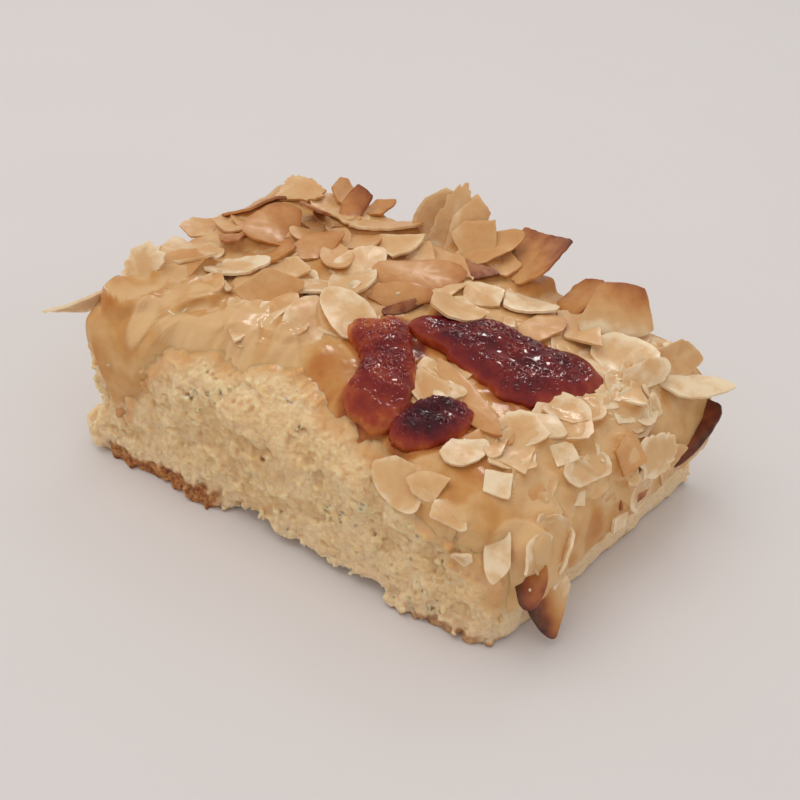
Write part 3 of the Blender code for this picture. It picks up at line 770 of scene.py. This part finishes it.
def lobeReach(x, y, lobes):
    # about 1 on a patch's outline, less inside it
    total = 0.0
    for cx, cy, along, wide, heading in lobes:
        h = math.radians(heading)
        a = ((x - cx) * math.cos(h) + (y - cy) * math.sin(h)) / along
        b = (-(x - cx) * math.sin(h) + (y - cy) * math.cos(h)) / wide
        total = total + np.exp(-3.0 * (np.hypot(a, b) - 1))
    return 1 - np.log(np.maximum(total, 1e-9)) / 3.0


# glaze that cooked down clear: its lobe and how dark it is
clearPools = (
    ((54.5, 14, 6.5, 9, 0), 0.4),
    ((61.2, 34.4, 8.5, 4, -32), 0.84),
    ((90, 9.5, 5, 8, 0), 0.36),
    ((113, 27, 5, 5, 0), 0.3),
)


def nearestCaramel(x, y):
    return min(float(lobeReach(x, y, lobes)) for lobes in caramelPatches.values())


def turned(up, heading, pitch, roll):
    heading, pitch, roll = (math.radians(angle) for angle in (heading, -pitch, roll))
    ahead = Vector((math.cos(heading), math.sin(heading), 0))
    ahead = (ahead - up * ahead.dot(up)).normalized()
    axes = Matrix((ahead, up.cross(ahead), up)).transposed()
    return (axes @ Matrix.Rotation(pitch, 3, "Y") @ Matrix.Rotation(roll, 3, "X")).to_4x4()


def laidFrame(x, y, heading, pitch, roll, length, width, extra):
    c = column(x, y)
    up = Vector(skinNormal(max(c, 0.02), float(y)))
    spot = Vector(skin(max(c, 0.0), float(y)))
    if x < 0:
        spot.x = x
    lift = float(bedHeight(x, y)) + 0.2 + extra
    lift += 0.36 * width * abs(math.sin(math.radians(roll)))
    lift += 0.36 * length * abs(math.sin(math.radians(pitch)))
    return Matrix.Translation(spot + up * lift) @ turned(up, heading, pitch, roll)


# by kind: more breaks, how far out they lie, and how torn the edge is
flakeKinds = {
    "plain": (0, 0, 0, 0),
    "almond": (1, 0.82, 0.95, 0.008),
    "shard": (3, 0.5, 0.85, 0.014),
    "ragged": (2, 0.7, 0.9, 0.06),
    "chip": (0, 0, 0, 0),
    "slab": (0, 0, 0, 0.012),
}


def randomBreaks(rng, count, least, most):
    return [(rng.uniform(0, 2 * math.pi), rng.uniform(least, most)) for _ in range(count)]


def flakeForm(length, width, seed, kind):
    # an almond slice with two broken sides, and more breaks by its kind
    rng = random.Random(seed)
    breaks = randomBreaks(rng, 2, 0.6, 0.9)
    form = {
        "length": length,
        "width": width,
        "cup": rng.uniform(-0.05, 0.14) * length,
        "roof": rng.uniform(-0.10, 0.10) * width,
        "ripple": rng.uniform(-0.05, 0.05) * length,
        "seed": seed,
    }
    *more, form["torn"] = flakeKinds[kind]
    form["breaks"] = breaks + randomBreaks(rng, *more)
    if kind == "chip":
        skew = rng.uniform(-0.2, 0.2)
        quarters = [0.5 * math.pi * k + skew for k in range(4)]
        form["breaks"] = [(q + rng.uniform(-0.12, 0.12), rng.uniform(0.62, 0.7)) for q in quarters]
    elif kind == "slab":
        form["breaks"] = [(0.3, 0.68), (1.85, 0.6), (3.35, 0.72), (4.75, 0.66), (5.6, 0.74)]
        form["cup"] = 0.09 * length
    return form


def flakeOutline(form, turns):
    x = 0.5 * form["length"] * np.cos(turns)
    y = 0.5 * form["width"] * np.sin(turns) * (1 - 0.22 * np.cos(turns))
    for angle, reach in form["breaks"]:
        nx, ny = math.cos(angle), math.sin(angle)
        over = x * nx + y * ny - reach * 0.5 * math.hypot(form["length"] * nx, form["width"] * ny)
        over = np.maximum(over, 0)
        x = x - nx * over
        y = y - ny * over
    return x, y


def evenOutline(form, sides):
    # outline points spaced evenly along the edge, so that broken corners stay sharp
    x, y = flakeOutline(form, 2 * math.pi * np.arange(240) / 240)
    run = np.hypot(np.diff(np.append(x, x[0])), np.diff(np.append(y, y[0])))
    along = np.concatenate([[0], np.cumsum(run)])
    steps = np.arange(sides) / sides * along[-1]
    x = np.interp(steps, along, np.append(x, x[0]))
    y = np.interp(steps, along, np.append(y, y[0]))
    rng = np.random.default_rng(form["seed"] + 9000)
    nibble = rng.normal(0, form["torn"], sides) + rng.normal(0, 0.006, sides)
    return x * (1 + nibble), y * (1 + nibble)


def flakeBend(form, x, y):
    z = form["cup"] * (2 * x / form["length"]) ** 2 + form["roof"] * (2 * y / form["width"]) ** 2
    z = z + form["ripple"] * np.sin(5 * x / form["length"] + 3 * y / form["width"])
    return z + 0.1 * np.sin(1.7 * x + form["seed"]) * np.cos(1.4 * y - form["seed"])


def settleDrop(form, matrix):
    # how far a flake sinks until its lowest point bites into the bed
    turns = 2 * math.pi * np.arange(8) / 8
    x, y = flakeOutline(form, turns)
    x, y = np.append(x, 0), np.append(y, 0)
    z = flakeBend(form, x, y)
    gaps = []
    for px, py, pz in zip(x, y, z):
        for side in (0.5, -0.5):
            spot = matrix @ Vector((px, py, pz + side))
            inside = float(bedBorder(spot.x)) + 2 < spot.y < cake["depth"]
            if 0 < spot.x < bakedSide(spot.y) - 4 and inside:
                gaps.append(spot.z - float(crumbTop(spot.x, spot.y)) - float(bedHeight(spot.x, spot.y)))
    return min(0.0, -almonds["bite"] - min(gaps)) if gaps else 0.0


def discFaces(first, sides, rings, flip):
    # a fan round the middle point, then rings of quads
    faces = []
    for k in range(sides):
        n = (k + 1) % sides
        faces.append([first, first + 1 + k, first + 1 + n][::flip])
        for a in range(first + 1, first + 1 + (rings - 1) * sides, sides):
            faces.append([a + k, a + sides + k, a + sides + n, a + n][::flip])
    return faces


def rimFaces(upper, lower, sides):
    # joins the outermost rings of an upper and a lower sheet
    pairs = [(k, (k + 1) % sides) for k in range(sides)]
    return [[upper + k, lower + k, lower + n, upper + n] for k, n in pairs]


def newHeap():
    return {"points": [], "faces": [], "toast": [], "honey": [], "count": 0}


def addFlake(heap, form, matrix, tones, sides, rng):
    # adds one flake: tones are thickness, toast, toast at the tip, honey and toast to one side
    thickness, toast, tipToast, honey, sideToast = tones
    steps = (0.42, 0.76, 0.94, 1.0)
    ox, oy = evenOutline(form, sides)
    rimTone = rng.uniform(0.03, 0.14) * (2.4 * toast) - 0.06 * (toast < 0.3)
    heartTone = rng.uniform(0.0, 0.12) * (toast < 0.3)
    sideTone = rng.uniform(-0.1, 0.1) * (0.2 + toast) + sideToast
    slope = rng.uniform(-1, 1)
    sheets = []
    for side in (1, -1):
        sheet = [np.array([[0, 0, flakeBend(form, 0.0, 0.0) + side * 0.5 * thickness]])]
        heap["toast"].append([toast + heartTone])
        heap["honey"].append([honey])
        for f in steps:
            x, y = ox * f, oy * f
            half = 0.5 * thickness * (1 - 0.25 * f**12)
            sheet.append(np.stack([x, y, flakeBend(form, x, y) + side * half], axis=1))
            u, v = 2 * x / form["length"], 2 * y / form["width"]
            tone = toast + heartTone * (1 - f**2) + tipToast * np.clip(u, -0.3, 1) + rimTone * f**6
            heap["toast"].append(tone + sideTone * v)
            heap["honey"].append(np.clip(honey * (1 - 0.45 * f**8) + 0.3 * honey * (slope * v - u), 0, 1))
        sheets.append(np.concatenate(sheet))
    m = np.array(matrix)
    first, per = heap["count"], len(sheets[0])
    outer = first + 1 + (len(steps) - 1) * sides
    heap["points"].append(np.concatenate(sheets) @ m[:3, :3].T + m[:3, 3])
    heap["count"] += 2 * per
    heap["faces"] += discFaces(first, sides, len(steps), 1)
    heap["faces"] += discFaces(first + per, sides, len(steps), -1)
    heap["faces"] += rimFaces(outer, outer + per, sides)


def buildHeap(heap, name):
    piece = meshPiece(name, np.concatenate(heap["points"]), heap["faces"], almondMaterial)
    piece.data.set_sharp_from_angle(angle=math.radians(almonds["creaseAngle"]))
    for tone in ("toast", "honey"):
        setAttribute(piece, tone, np.clip(np.concatenate(heap[tone]), 0, 1))
    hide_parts("almond_topping")
    return piece


# where the oven browned the flakes most: how much, x, y, reach along x, reach along y
brownedSpots = ((0.2, 18, 56, 24, 18), (0.4, 70, 72, 16, 9), (0.2, 66, 34, 10, 9))


def toastAt(x, y):
    return sum(much * hill(x, y, *spot) for much, *spot in brownedSpots)


def honeyAt(x, y):
    # glaze lies thickest along the front left and round the caramel, and thinnest at the back
    wet = 1.05 * (1 - smooth((y - 15) / 14)) * (1 - smooth((x - 40) / 22))
    wet = np.maximum(wet, np.maximum(hill(x, y, 56, 15, 9, 11), 0.7 * hill(x, y, 68, 30, 22, 18)))
    wet = np.maximum(wet, 0.66 * smooth((x - 88) / 10) * (1 - 0.5 * smooth((y - 42) / 20)))
    wet = np.maximum(wet, 0.85 * smooth((x - 84) / 12) * (1 - smooth((y - 3) / 9)))
    return np.clip(np.maximum(wet, 0.3 * (1 - smooth((y - 50) / 16))), 0.08, 1)


def openGlaze(x, y):
    # the clear pools round the caramel hold no flakes
    return any(float(lobeReach(x, y, pool[:1])) < 1.2 for pool in clearPools)


def scatteredFlakes():
    # the same loose grid of flakes as in the solids
    rng = random.Random(almonds["scatterSeed"])
    taken = [(row[0], row[1]) for row in laidFlakes]
    rows = []
    width, drop, arc = cake["shoulder"]
    for i in range(13):
        for j in range(7):
            run = 6 + almonds["scatterPitch"] * (i + rng.uniform(-0.3, 0.3) + 0.5 * (j % 2))
            y = 9 + almonds["scatterPitch"] * (j + rng.uniform(-0.3, 0.3))
            flat = bakedSide(y) - width
            turn = min(1.0, max(0.0, (run - flat) / arc))
            x = min(run, flat) + width * math.sin(0.5 * math.pi * turn)
            heading = rng.uniform(0, 360)
            length = rng.uniform(*almonds["scatterLength"])
            wide = length * rng.uniform(*almonds["scatterSlim"])
            pitch = rng.uniform(0, 14)
            roll = rng.uniform(-16, 16)
            inside = turn < 0.85 and float(bedBorder(x)) + 4 < y < cake["depth"] - 2
            if y > 52 and x < 62:
                pitch, roll = 2.2 * pitch, 2.0 * roll
            clear = all(math.hypot(x - a, y - b) > 5.8 for a, b in taken)
            clear = clear and not (x > 106 and y > 50) and not openGlaze(x, y)
            if inside and clear and nearestCaramel(x, y) > 1.25:
                rows.append((x, y, heading, pitch, roll, length, wide, 0.4))
                taken.append((x, y))
    return rows


def placed(x, y, heading, pitch, roll, form, extra, sink=1.0):
    matrix = laidFrame(x, y, heading, pitch, roll, form["length"], form["width"], extra)
    return Matrix.Translation((0, 0, sink * settleDrop(form, matrix))) @ matrix


# the wetter flakes come first, as the glaze creeps over those and leaves the dry ones clear
toneRng = random.Random(5)
mainHeap = newHeap()
rows = list(laidFlakes)
for row in scatteredFlakes():
    x, y = row[:2]
    toast = toastAt(x, y) + toneRng.uniform(0.0, 0.12) + 0.2 * (toneRng.random() < 0.2)
    tipToast = toneRng.uniform(0, 0.1) + 0.15 * toast
    rows.append((*row, toast, tipToast, honeyAt(x, y), toneRng.choice(("almond", "shard"))))
wetFaces = 0
for number, row in sorted(enumerate(rows), key=lambda pair: -pair[1][10]):
    form = flakeForm(row[5], row[6], number, row[11])
    byBorder = row[0] < 78 and row[1] < float(glazeBorder(row[0])) + 7
    form["cup"] *= 0.2 if byBorder else 1.0
    matrix = placed(*row[:5], form, row[7] - (1.1 if byBorder else 0.0))
    upperSide = 0.4 if row[4] > 40 and row[11] != "ragged" else 0.0  # browned along the upper side
    tones = (almonds["thickness"], *row[8:11], upperSide)
    addFlake(mainHeap, form, matrix, tones, almonds["sides"], toneRng)
    if row[10] > almonds["wetHoney"]:
        wetFaces = len(mainHeap["faces"])
for number, row in enumerate(hangingFlakes):
    form = flakeForm(row[6], row[7], 500 + number, "plain")
    matrix = Matrix.Translation(row[:3]) @ turned(Vector((0, 0, 1)), *row[3:6])
    addFlake(mainHeap, form, matrix, (almonds["thickness"], *row[8:]), almonds["sides"], toneRng)
flakesPiece = buildHeap(mainHeap, "almond_flakes")

# flatter flakes half sunk in the glaze, then shards and square chips on top of them: how many,
# ranges of length, slimness, lift, pitch and roll, then kinds, sides and thickness
sunkRanges = ((10, 17), (0.5, 0.85), (-1.3, -0.3), (-3, 5), (-8, 8))
shardRanges = ((3.5, 8), (0.25, 0.6), (0.0, 0.9), (-8, 20), (-25, 25))
chipRanges = ((5, 8), (0.7, 0.95), (0.2, 0.7), (-6, 10), (-12, 12))
sunkPlan = {
    "top": (54, sunkRanges, ("almond", "shard", "shard"), 40, 0.6),
    "shoulder": (40, sunkRanges, ("almond", "shard", "shard"), 40, 0.6),
    "shard": (26, shardRanges, ("shard", "ragged"), 24, 0.6),
    "chip": (5, chipRanges, ("chip",), 28, 0.9),
}
columnRange = {"top": (0.02, 1.02)}  # elsewhere the first draw is over the shoulder
dryFlakes = [row for row in laidFlakes if row[10] <= almonds["wetHoney"]]
sunkHeap = newHeap()
sunkRng = random.Random(77)
seed, lastSeed = 1000, 9000
for region, (wanted, ranges, kinds, sides, thickness) in sunkPlan.items():
    sunk = region in ("top", "shoulder")
    made = 0
    while made < wanted and seed < lastSeed:
        seed += 1
        y = sunkRng.uniform(1, cake["depth"] - 1.5)
        c = sunkRng.uniform(*columnRange.get(region, (1.0, 1.97)))
        if region == "shard":
            c = sunkRng.uniform(0.05, 1.9)
        x = float(across(c, y))
        if y < float(glazeBorder(x)) + (3 if x > 80 else 7) or nearestCaramel(x, y) < 1.15:
            continue
        if (x > 110 and y > 54) or (sunk and x > 88 and y < 9) or openGlaze(x, y):
            continue
        apart = 7 if not sunk or 82 < x < 108 and y < 28 else 0
        if min(math.hypot(x - row[0], y - row[1]) for row in dryFlakes) < apart:
            continue
        length, slim, extra, pitch, roll = (sunkRng.uniform(*ends) for ends in ranges)
        kind = sunkRng.choice(kinds) if len(kinds) > 1 else kinds[0]
        form = flakeForm(length, length * slim, seed, kind)
        matrix = placed(x, y, sunkRng.uniform(0, 360), pitch, roll, form, extra, 0.7)
        toast = (toastAt(x, y) + sunkRng.uniform(0.0, 0.12)) * (kind != "chip")
        honey = honeyAt(x, y) * (0.2 if kind == "chip" else sunkRng.uniform(0.5, 1.1))
        addFlake(sunkHeap, form, matrix, (thickness, toast, 0.1 * toast, honey, 0.0), sides, sunkRng)
        made += 1
for number, (x, z, heading, length, width, toast, honey) in enumerate(facedFlakes):
    form = flakeForm(length, width, 700 + number, "shard")
    form["cup"] *= 0.3
    h = math.radians(heading)
    ahead, up = Vector((math.cos(h), 0, math.sin(h))), Vector((0, -1, 0))
    axes = Matrix((ahead, up.cross(ahead), up)).transposed().to_4x4()
    matrix = Matrix.Translation((x, 0.1, z)) @ axes
    addFlake(sunkHeap, form, matrix, (0.6, toast, 0.0, honey, 0.0), 30, sunkRng)
sunkPiece = buildHeap(sunkHeap, "almond_fragments")
print("almonds made:", len(flakesPiece.data.polygons) + len(sunkPiece.data.polygons), "faces")

# the glaze fills the hollows between the flakes and creeps up their sides
glaze = {
    "topColumns": 192,
    "shoulderColumns": 100,
    "rows": 160,
    "ripple": 0.45,
    "mostFill": 3.2,  # mm above the plain bed
    "sink": 0.9,  # mm that its border dips under the crumb
    "reach": 14.0,  # how high above the crumb flakes are looked for
    "mostCrest": 3.6,
    "overDrowned": 0.45,
    "caramelMargin": {"caramel_left": 0.4, "caramel_right": 0.4, "caramel_flake": 0.15},
    "drowned": (  # flakes that show only faintly through it, as lobes
        (34, 12.5, 7, 4, 118),
        (31.5, 19.5, 6, 3.4, 100),
        (22.5, 8.5, 6.5, 3.4, 12),
        (13, 6.5, 5, 3, 105),
        (26.5, 13, 5.5, 3, 60),
        (43.5, 15, 6, 3.2, 130),
        (108, 12, 7, 3.6, 80),
        (104, 8, 6, 3.4, 40),
    ),
}


def draped(c, s):
    # the skin carried on over the front edge, where s below zero runs down the long cut
    bend = 2.2
    root = np.sqrt(s * s + bend * bend)
    p = skin(c, np.minimum(0.5 * (s + root), cake["depth"] - 0.4))
    x, y, z = p[..., 0], p[..., 1], p[..., 2] - 0.5 * (root - s) * (1 - np.clip(c - 1.4, 0, 1))
    radius = cake["bakedCornerRadius"]
    px = np.maximum(radius - (bakedSide(y) - x), 1e-6)
    py = np.maximum(radius - y, 1e-6)
    k = np.maximum(px, py) / np.hypot(px, py)
    x = bakedSide(y) - np.where(px > 1e-5, radius - px * k, bakedSide(y) - x)
    return np.stack([x, y + np.where(px > 1e-5, py * (1 - k), 0), z], axis=-1)


def blurred(values, passes):
    for _ in range(passes):
        for axis in (0, 1):
            before = np.concatenate([np.take(values, [0], axis), np.delete(values, -1, axis)], axis)
            after = np.concatenate([np.delete(values, 0, axis), np.take(values, [-1], axis)], axis)
            values = 0.25 * before + 0.5 * values + 0.25 * after
    return values


flakeTree = BVHTree.FromPolygons(
    np.concatenate(mainHeap["points"] + sunkHeap["points"]).tolist(),
    mainHeap["faces"][:wetFaces] + [[i + mainHeap["count"] for i in face] for face in sunkHeap["faces"]],
)
topColumns = np.linspace(0.004, 1, glaze["topColumns"])[:-1]
cs = np.concatenate([topColumns, np.linspace(1, 3, glaze["shoulderColumns"])])
fs = np.linspace(0, 1, glaze["rows"] + 1)
cGrid, fGrid = np.meshgrid(cs, fs, indexing="ij")
uneven = 1.4 * wobbleAll(cs * 90, 0, scale=4.5, seed=13) + 0.9 * wobbleAll(cs * 90, 0, scale=1.7, seed=14)
starts = glazeStart(across(cGrid, 20.0)) - 1.0 + (uneven * (1 - smooth((cs - 1.05) / 0.35)))[:, None]
sGrid = starts + (cake["depth"] - 0.4 - starts) * fGrid**1.05
base = draped(cGrid, sGrid)
x, y = base[..., 0], base[..., 1]
normals = np.cross(np.gradient(base, axis=0), np.gradient(base, axis=1))
normals /= np.linalg.norm(normals, axis=-1, keepdims=True)
flat = base.reshape(-1, 3).astype(np.float32)
rippled = (0.5 * grain(flat, 3.2, 41) + 0.5 * grain(flat, 1.6, 42)).reshape(cGrid.shape)
plainBed = bedHeight(x, y) + glaze["ripple"] * rippled
high = np.zeros(cGrid.shape)
reach = glaze["reach"]
for i, j in np.ndindex(cGrid.shape):
    normal = Vector(normals[i, j])
    hit = flakeTree.ray_cast(Vector(base[i, j]) + normal * reach, -normal, reach)
    if hit[0] is not None:
        high[i, j] = reach - hit[3]
wet = honeyAt(x, y)
crest = level = np.minimum(high, plainBed + glaze["mostCrest"])
for axis in (0, 1, 0, 1):
    crest = np.maximum(crest, np.maximum(np.roll(crest, 1, axis), np.roll(crest, -1, axis)))
crest = blurred(crest, 2)
level = blurred(level, 3)
fill = level + (crest - level) * smooth((wet - 0.3) / 0.6) - plainBed - 0.8 + 0.8 * wet
thick = blurred(plainBed + np.clip(fill, 0, glaze["mostFill"]), 1)
thick *= 0.55 + 0.45 * smooth((sGrid + 2) / 6)  # thinner where it runs down the cut
drowned = np.zeros(cGrid.shape)
for lobe in glaze["drowned"]:
    drowned = np.maximum(drowned, 1 - smooth((lobeReach(x, y, (lobe,)) - 0.88) / 0.14))
thick += glaze["overDrowned"] * drowned
rimFade = smooth((sGrid - starts - 0.3) / 8)
thick = -glaze["sink"] + (thick + glaze["sink"]) * rimFade
lowWave = wobbleAll(y, cGrid, scale=8)
thick = thick * (1 - 0.97 * smooth((cGrid - 2.2 + 0.3 * lowWave) / 0.8))
topSheet = base + normals * thick[..., None]
lowSheet = base - normals * (bed["root"] + glaze["sink"] * (1 - rimFade))[..., None]
nc, nr = cGrid.shape
index = np.arange(nc * nr).reshape(nc, nr)
quad = np.stack([index[:-1, :-1], index[1:, :-1], index[1:, 1:], index[:-1, 1:]], axis=-1).reshape(-1, 4)
faces = quad.tolist() + (quad[:, ::-1] + nc * nr).tolist()
rim = np.concatenate([index[:, 0], index[-1, 1:], index[-2::-1, -1], index[0, -2:0:-1]])
for a, b in zip(rim, np.roll(rim, -1)):
    faces.append([int(b), int(a), int(a + nc * nr), int(b + nc * nr)])
sheets = np.concatenate([topSheet.reshape(-1, 3), lowSheet.reshape(-1, 3)])
bedPiece = meshPiece("glaze_bed", sheets, faces, glazeMaterial)
gap = thick - high
under = np.where((high > 0) & (gap > -0.5), smooth(1 - np.abs(gap) / 1.4), 0.0) * 0.85
under = np.maximum(under, 0.8 * drowned)
cook = 0.02 + 0.24 * smooth((thick - 0.6) / 4) + 0.1 * smooth((high - thick) / 2.5)
cook += 0.12 * smooth((20 - x) / 8) * smooth((12 - y) / 8) * smooth((x - 1) / 4)
for name, lobes in caramelPatches.items():
    margin = glaze["caramelMargin"][name]
    cook = np.maximum(cook, 0.58 * (1 - smooth((lobeReach(x, y, lobes) - 1.02) / margin)))
for lobe, dark in clearPools:
    cook = np.maximum(cook, dark * (1 - smooth((lobeReach(x, y, (lobe,)) - 0.6) / 0.5)))
setAttribute(bedPiece, "under", np.tile(under.ravel(), 2))
setAttribute(bedPiece, "cook", np.tile(cook.ravel(), 2))
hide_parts("almond_topping")
print("glaze made:", len(bedPiece.data.polygons), "faces")

caramel = {
    "height": 3.2,
    "root": 0.7,
    "sides": 400,
    "rings": 110,
    "bubbleRadius": (0.5, 1.2),
    "bubblesPerCm2": 42,
    # how far each patch is cooked at its heart, and the share that its rim is paler
    "cooked": {"caramel_left": (0.45, 0.7), "caramel_right": (0.72, 0.62), "caramel_flake": (0.86, 0.72)},
}


def caramelLevel(x, y, f, seed):
    level = crumbTop(x, y) + bed["thickness"]
    dome = np.sqrt(np.maximum(1 - f**4, 0))
    swell = 1.1 * wobbleAll(x, y, scale=5, seed=seed) * (1 - f**4)
    return level + 0.4 + (caramel["height"] - 0.4) * dome + swell


def bubbleRelief(x, y, lobes, rng):
    # burst bubbles leave little rims and dimples, closed ones stand as domes
    low = (x.min(), y.min())
    span = (np.ptp(x), np.ptp(y))
    relief = np.zeros(len(x))
    count = int(caramel["bubblesPerCm2"] * span[0] * span[1] / 100)
    small, large = caramel["bubbleRadius"]
    for _ in range(count):
        bx, by = low[0] + span[0] * rng.random(), low[1] + span[1] * rng.random()
        r = small + (large - small) * rng.random() ** 1.5
        if float(lobeReach(bx, by, lobes)) > 0.88:
            continue
        near = (np.abs(x - bx) < 1.7 * r) & (np.abs(y - by) < 1.7 * r)
        d = np.hypot(x[near] - bx, y[near] - by) / r
        if rng.random() < 0.75:
            bump = 0.34 * np.exp(-(((d - 1) * r / 0.2) ** 2)) - 0.12 * np.exp(-((d / 0.7) ** 2))
        else:
            bump = 0.45 * r * np.sqrt(np.maximum(1 - d * d, 0))
        relief[near] = np.where(np.abs(bump) > np.abs(relief[near]), bump, relief[near])
    return relief


for seed, (name, lobes) in enumerate(caramelPatches.items()):
    mx = sum(lobe[0] for lobe in lobes) / len(lobes)
    my = sum(lobe[1] for lobe in lobes) / len(lobes)
    turns = 2 * math.pi * np.arange(caramel["sides"]) / caramel["sides"]
    steps = np.arange(1.0, 40, 0.05)
    reach = np.empty(len(turns))
    for k, turn in enumerate(turns):
        line = lobeReach(mx + steps * math.cos(turn), my + steps * math.sin(turn), lobes)
        reach[k] = steps[np.argmax(line >= 1)]
        edge = (math.cos(turn), math.sin(turn))
        broad, narrow = (wobble(*edge, scale=size, seed=seed) for size in (0.45, 0.13))
        reach[k] *= 1 + 0.07 * broad + 0.05 * narrow
    ringSteps = np.sin(0.5 * math.pi * np.arange(1, caramel["rings"] + 1) / caramel["rings"]) ** 1.2
    fs = np.append(0, np.repeat(ringSteps, caramel["sides"]))
    x = mx + np.append(0, np.outer(ringSteps, reach * np.cos(turns)))
    y = my + np.append(0, np.outer(ringSteps, reach * np.sin(turns)))
    topZ = caramelLevel(x, y, fs, seed)
    spots = np.stack([x, y, topZ], axis=1).astype(np.float32)
    relief = bubbleRelief(x, y, lobes, np.random.default_rng(80 + seed)) * (1 - fs**10)
    sag = 0.35 * grain(spots, 4.0, 61 + seed) + 0.1 * grain(spots, 1.8, 64 + seed)
    top = np.stack([x, y, topZ + (relief + sag) * (1 - fs**12)], axis=1)
    n = caramel["sides"]
    per = len(x)
    half = 1 + (caramel["rings"] // 2) * n  # the hidden underside needs two rings only
    kept = np.concatenate([[0], np.arange(half, half + n), np.arange(per - n, per)])
    lowZ = crumbTop(x, y) + bed["thickness"] - caramel["root"]
    low = np.stack([x, y, lowZ], axis=1)[kept]
    faces = discFaces(0, n, caramel["rings"], 1) + discFaces(per, n, 2, -1)
    faces += rimFaces(per - n, per + 1 + n, n)
    patch = meshPiece(name + "_glossy", np.concatenate([top, low]), faces, caramelMaterial)
    heart, paler = caramel["cooked"][name]
    cook = heart * (1 - paler * fs**6) + 0.2 * grain(spots, 6, 66 + seed) - 0.12 * np.clip(relief, -0.2, 0.4)
    if name == "caramel_left":
        cook -= 0.25 * smooth((y - 20) / 9) * smooth((63 - x) / 5)
    cook = np.clip(cook, 0.02, 1)
    setAttribute(patch, "cook", np.concatenate([cook, cook[kept]]))
    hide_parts(name)
print("caramel made")

floorLook = {"tones": ("#dbd6d4", "#ded9d7"), "finish": {"Roughness": 0.7}, "half": 3}

# painted board: dull, with the faintest clouds in its paint
floorMaterial, add = newMaterial("painted table top, matte")
place = add("TexCoord", out="Object")
cloud = add("TexNoise", {"Vector": place, "Scale": perMm(60), "Detail": 3.0})
plain, clouded = (colour(hexCode) for hexCode in floorLook["tones"])
paint = add("Mix", {0: cloud, 6: plain, 7: clouded}, out=2, data_type="RGBA")
finishMaterial(add, {"Base Color": paint}, floorLook["finish"])
floorMesh = bpy.data.meshes.new("floor")
half = floorLook["half"]
corners = [(-half, -half, 0), (half, -half, 0), (half, half, 0), (-half, half, 0)]
floorMesh.from_pydata(corners, [], [(0, 1, 2, 3)])
floorMesh.materials.append(floorMaterial)
floor = bpy.data.objects.new("floor", floorMesh)
bpy.context.scene.collection.objects.link(floor)
floor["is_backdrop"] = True

# where it hangs, size, power, tint, and whether it lights the surfaces or only glints on them
lights = {
    "wide soft light": ((-0.4, -0.15, 1.1), 1.0, 4.0, "#fdfbf9", True),
    "glint light": ((-0.15, 0.75, 0.9), 0.27, 5.0, "#fffaf4", False),
}
for name, (spot, size, power, tint, diffuse) in lights.items():
    lamp = bpy.data.lights.new(name, "AREA")
    lamp.shape = "DISK"
    lamp.size = size
    lamp.energy = power
    lamp.color = colour(tint)[:3]
    holder = bpy.data.objects.new(name, lamp)
    holder.location = spot
    holder.rotation_euler = (-Vector(spot)).to_track_quat("-Z", "Y").to_euler()
    holder.visible_diffuse = diffuse
    holder.visible_glossy = not diffuse
    bpy.context.scene.collection.objects.link(holder)

world = bpy.data.worlds.new("soft room light")
bpy.context.scene.world = world
world.use_nodes = True
world.node_tree.nodes.clear()
glow = addNode(world.node_tree, "Background", {"Color": colour("#f6f3f1"), "Strength": 0.76})
addNode(world.node_tree, "OutputWorld", {"Surface": glow})

camera = {
    "spot": (151.84, -125.24, 164.35),  # plan mm
    "right": (0.84075, 0.5376, 0.06419),
    "up": (-0.37466, 0.4921, 0.78579),
    "ahead": (-0.39086, 0.68471, -0.61515),
    "lens": 46.89,
}
eye = bpy.data.cameras.new("camera")
eye.sensor_width = 36
eye.lens = camera["lens"]
eye.clip_start = 0.01
holder = bpy.data.objects.new("camera", eye)
axes = Matrix((camera["right"], camera["up"], -Vector(camera["ahead"]))).transposed().to_4x4()
axes.translation = (Vector(camera["spot"]) - Vector((*planCentre, 0))) * 0.001
holder.matrix_world = axes
bpy.context.scene.collection.objects.link(holder)
bpy.context.scene.camera = holder
bpy.context.scene.view_settings.view_transform = "Standard"

low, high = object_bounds()
print("visual box", [round(v * 1000, 1) for v in (*low, *high)])
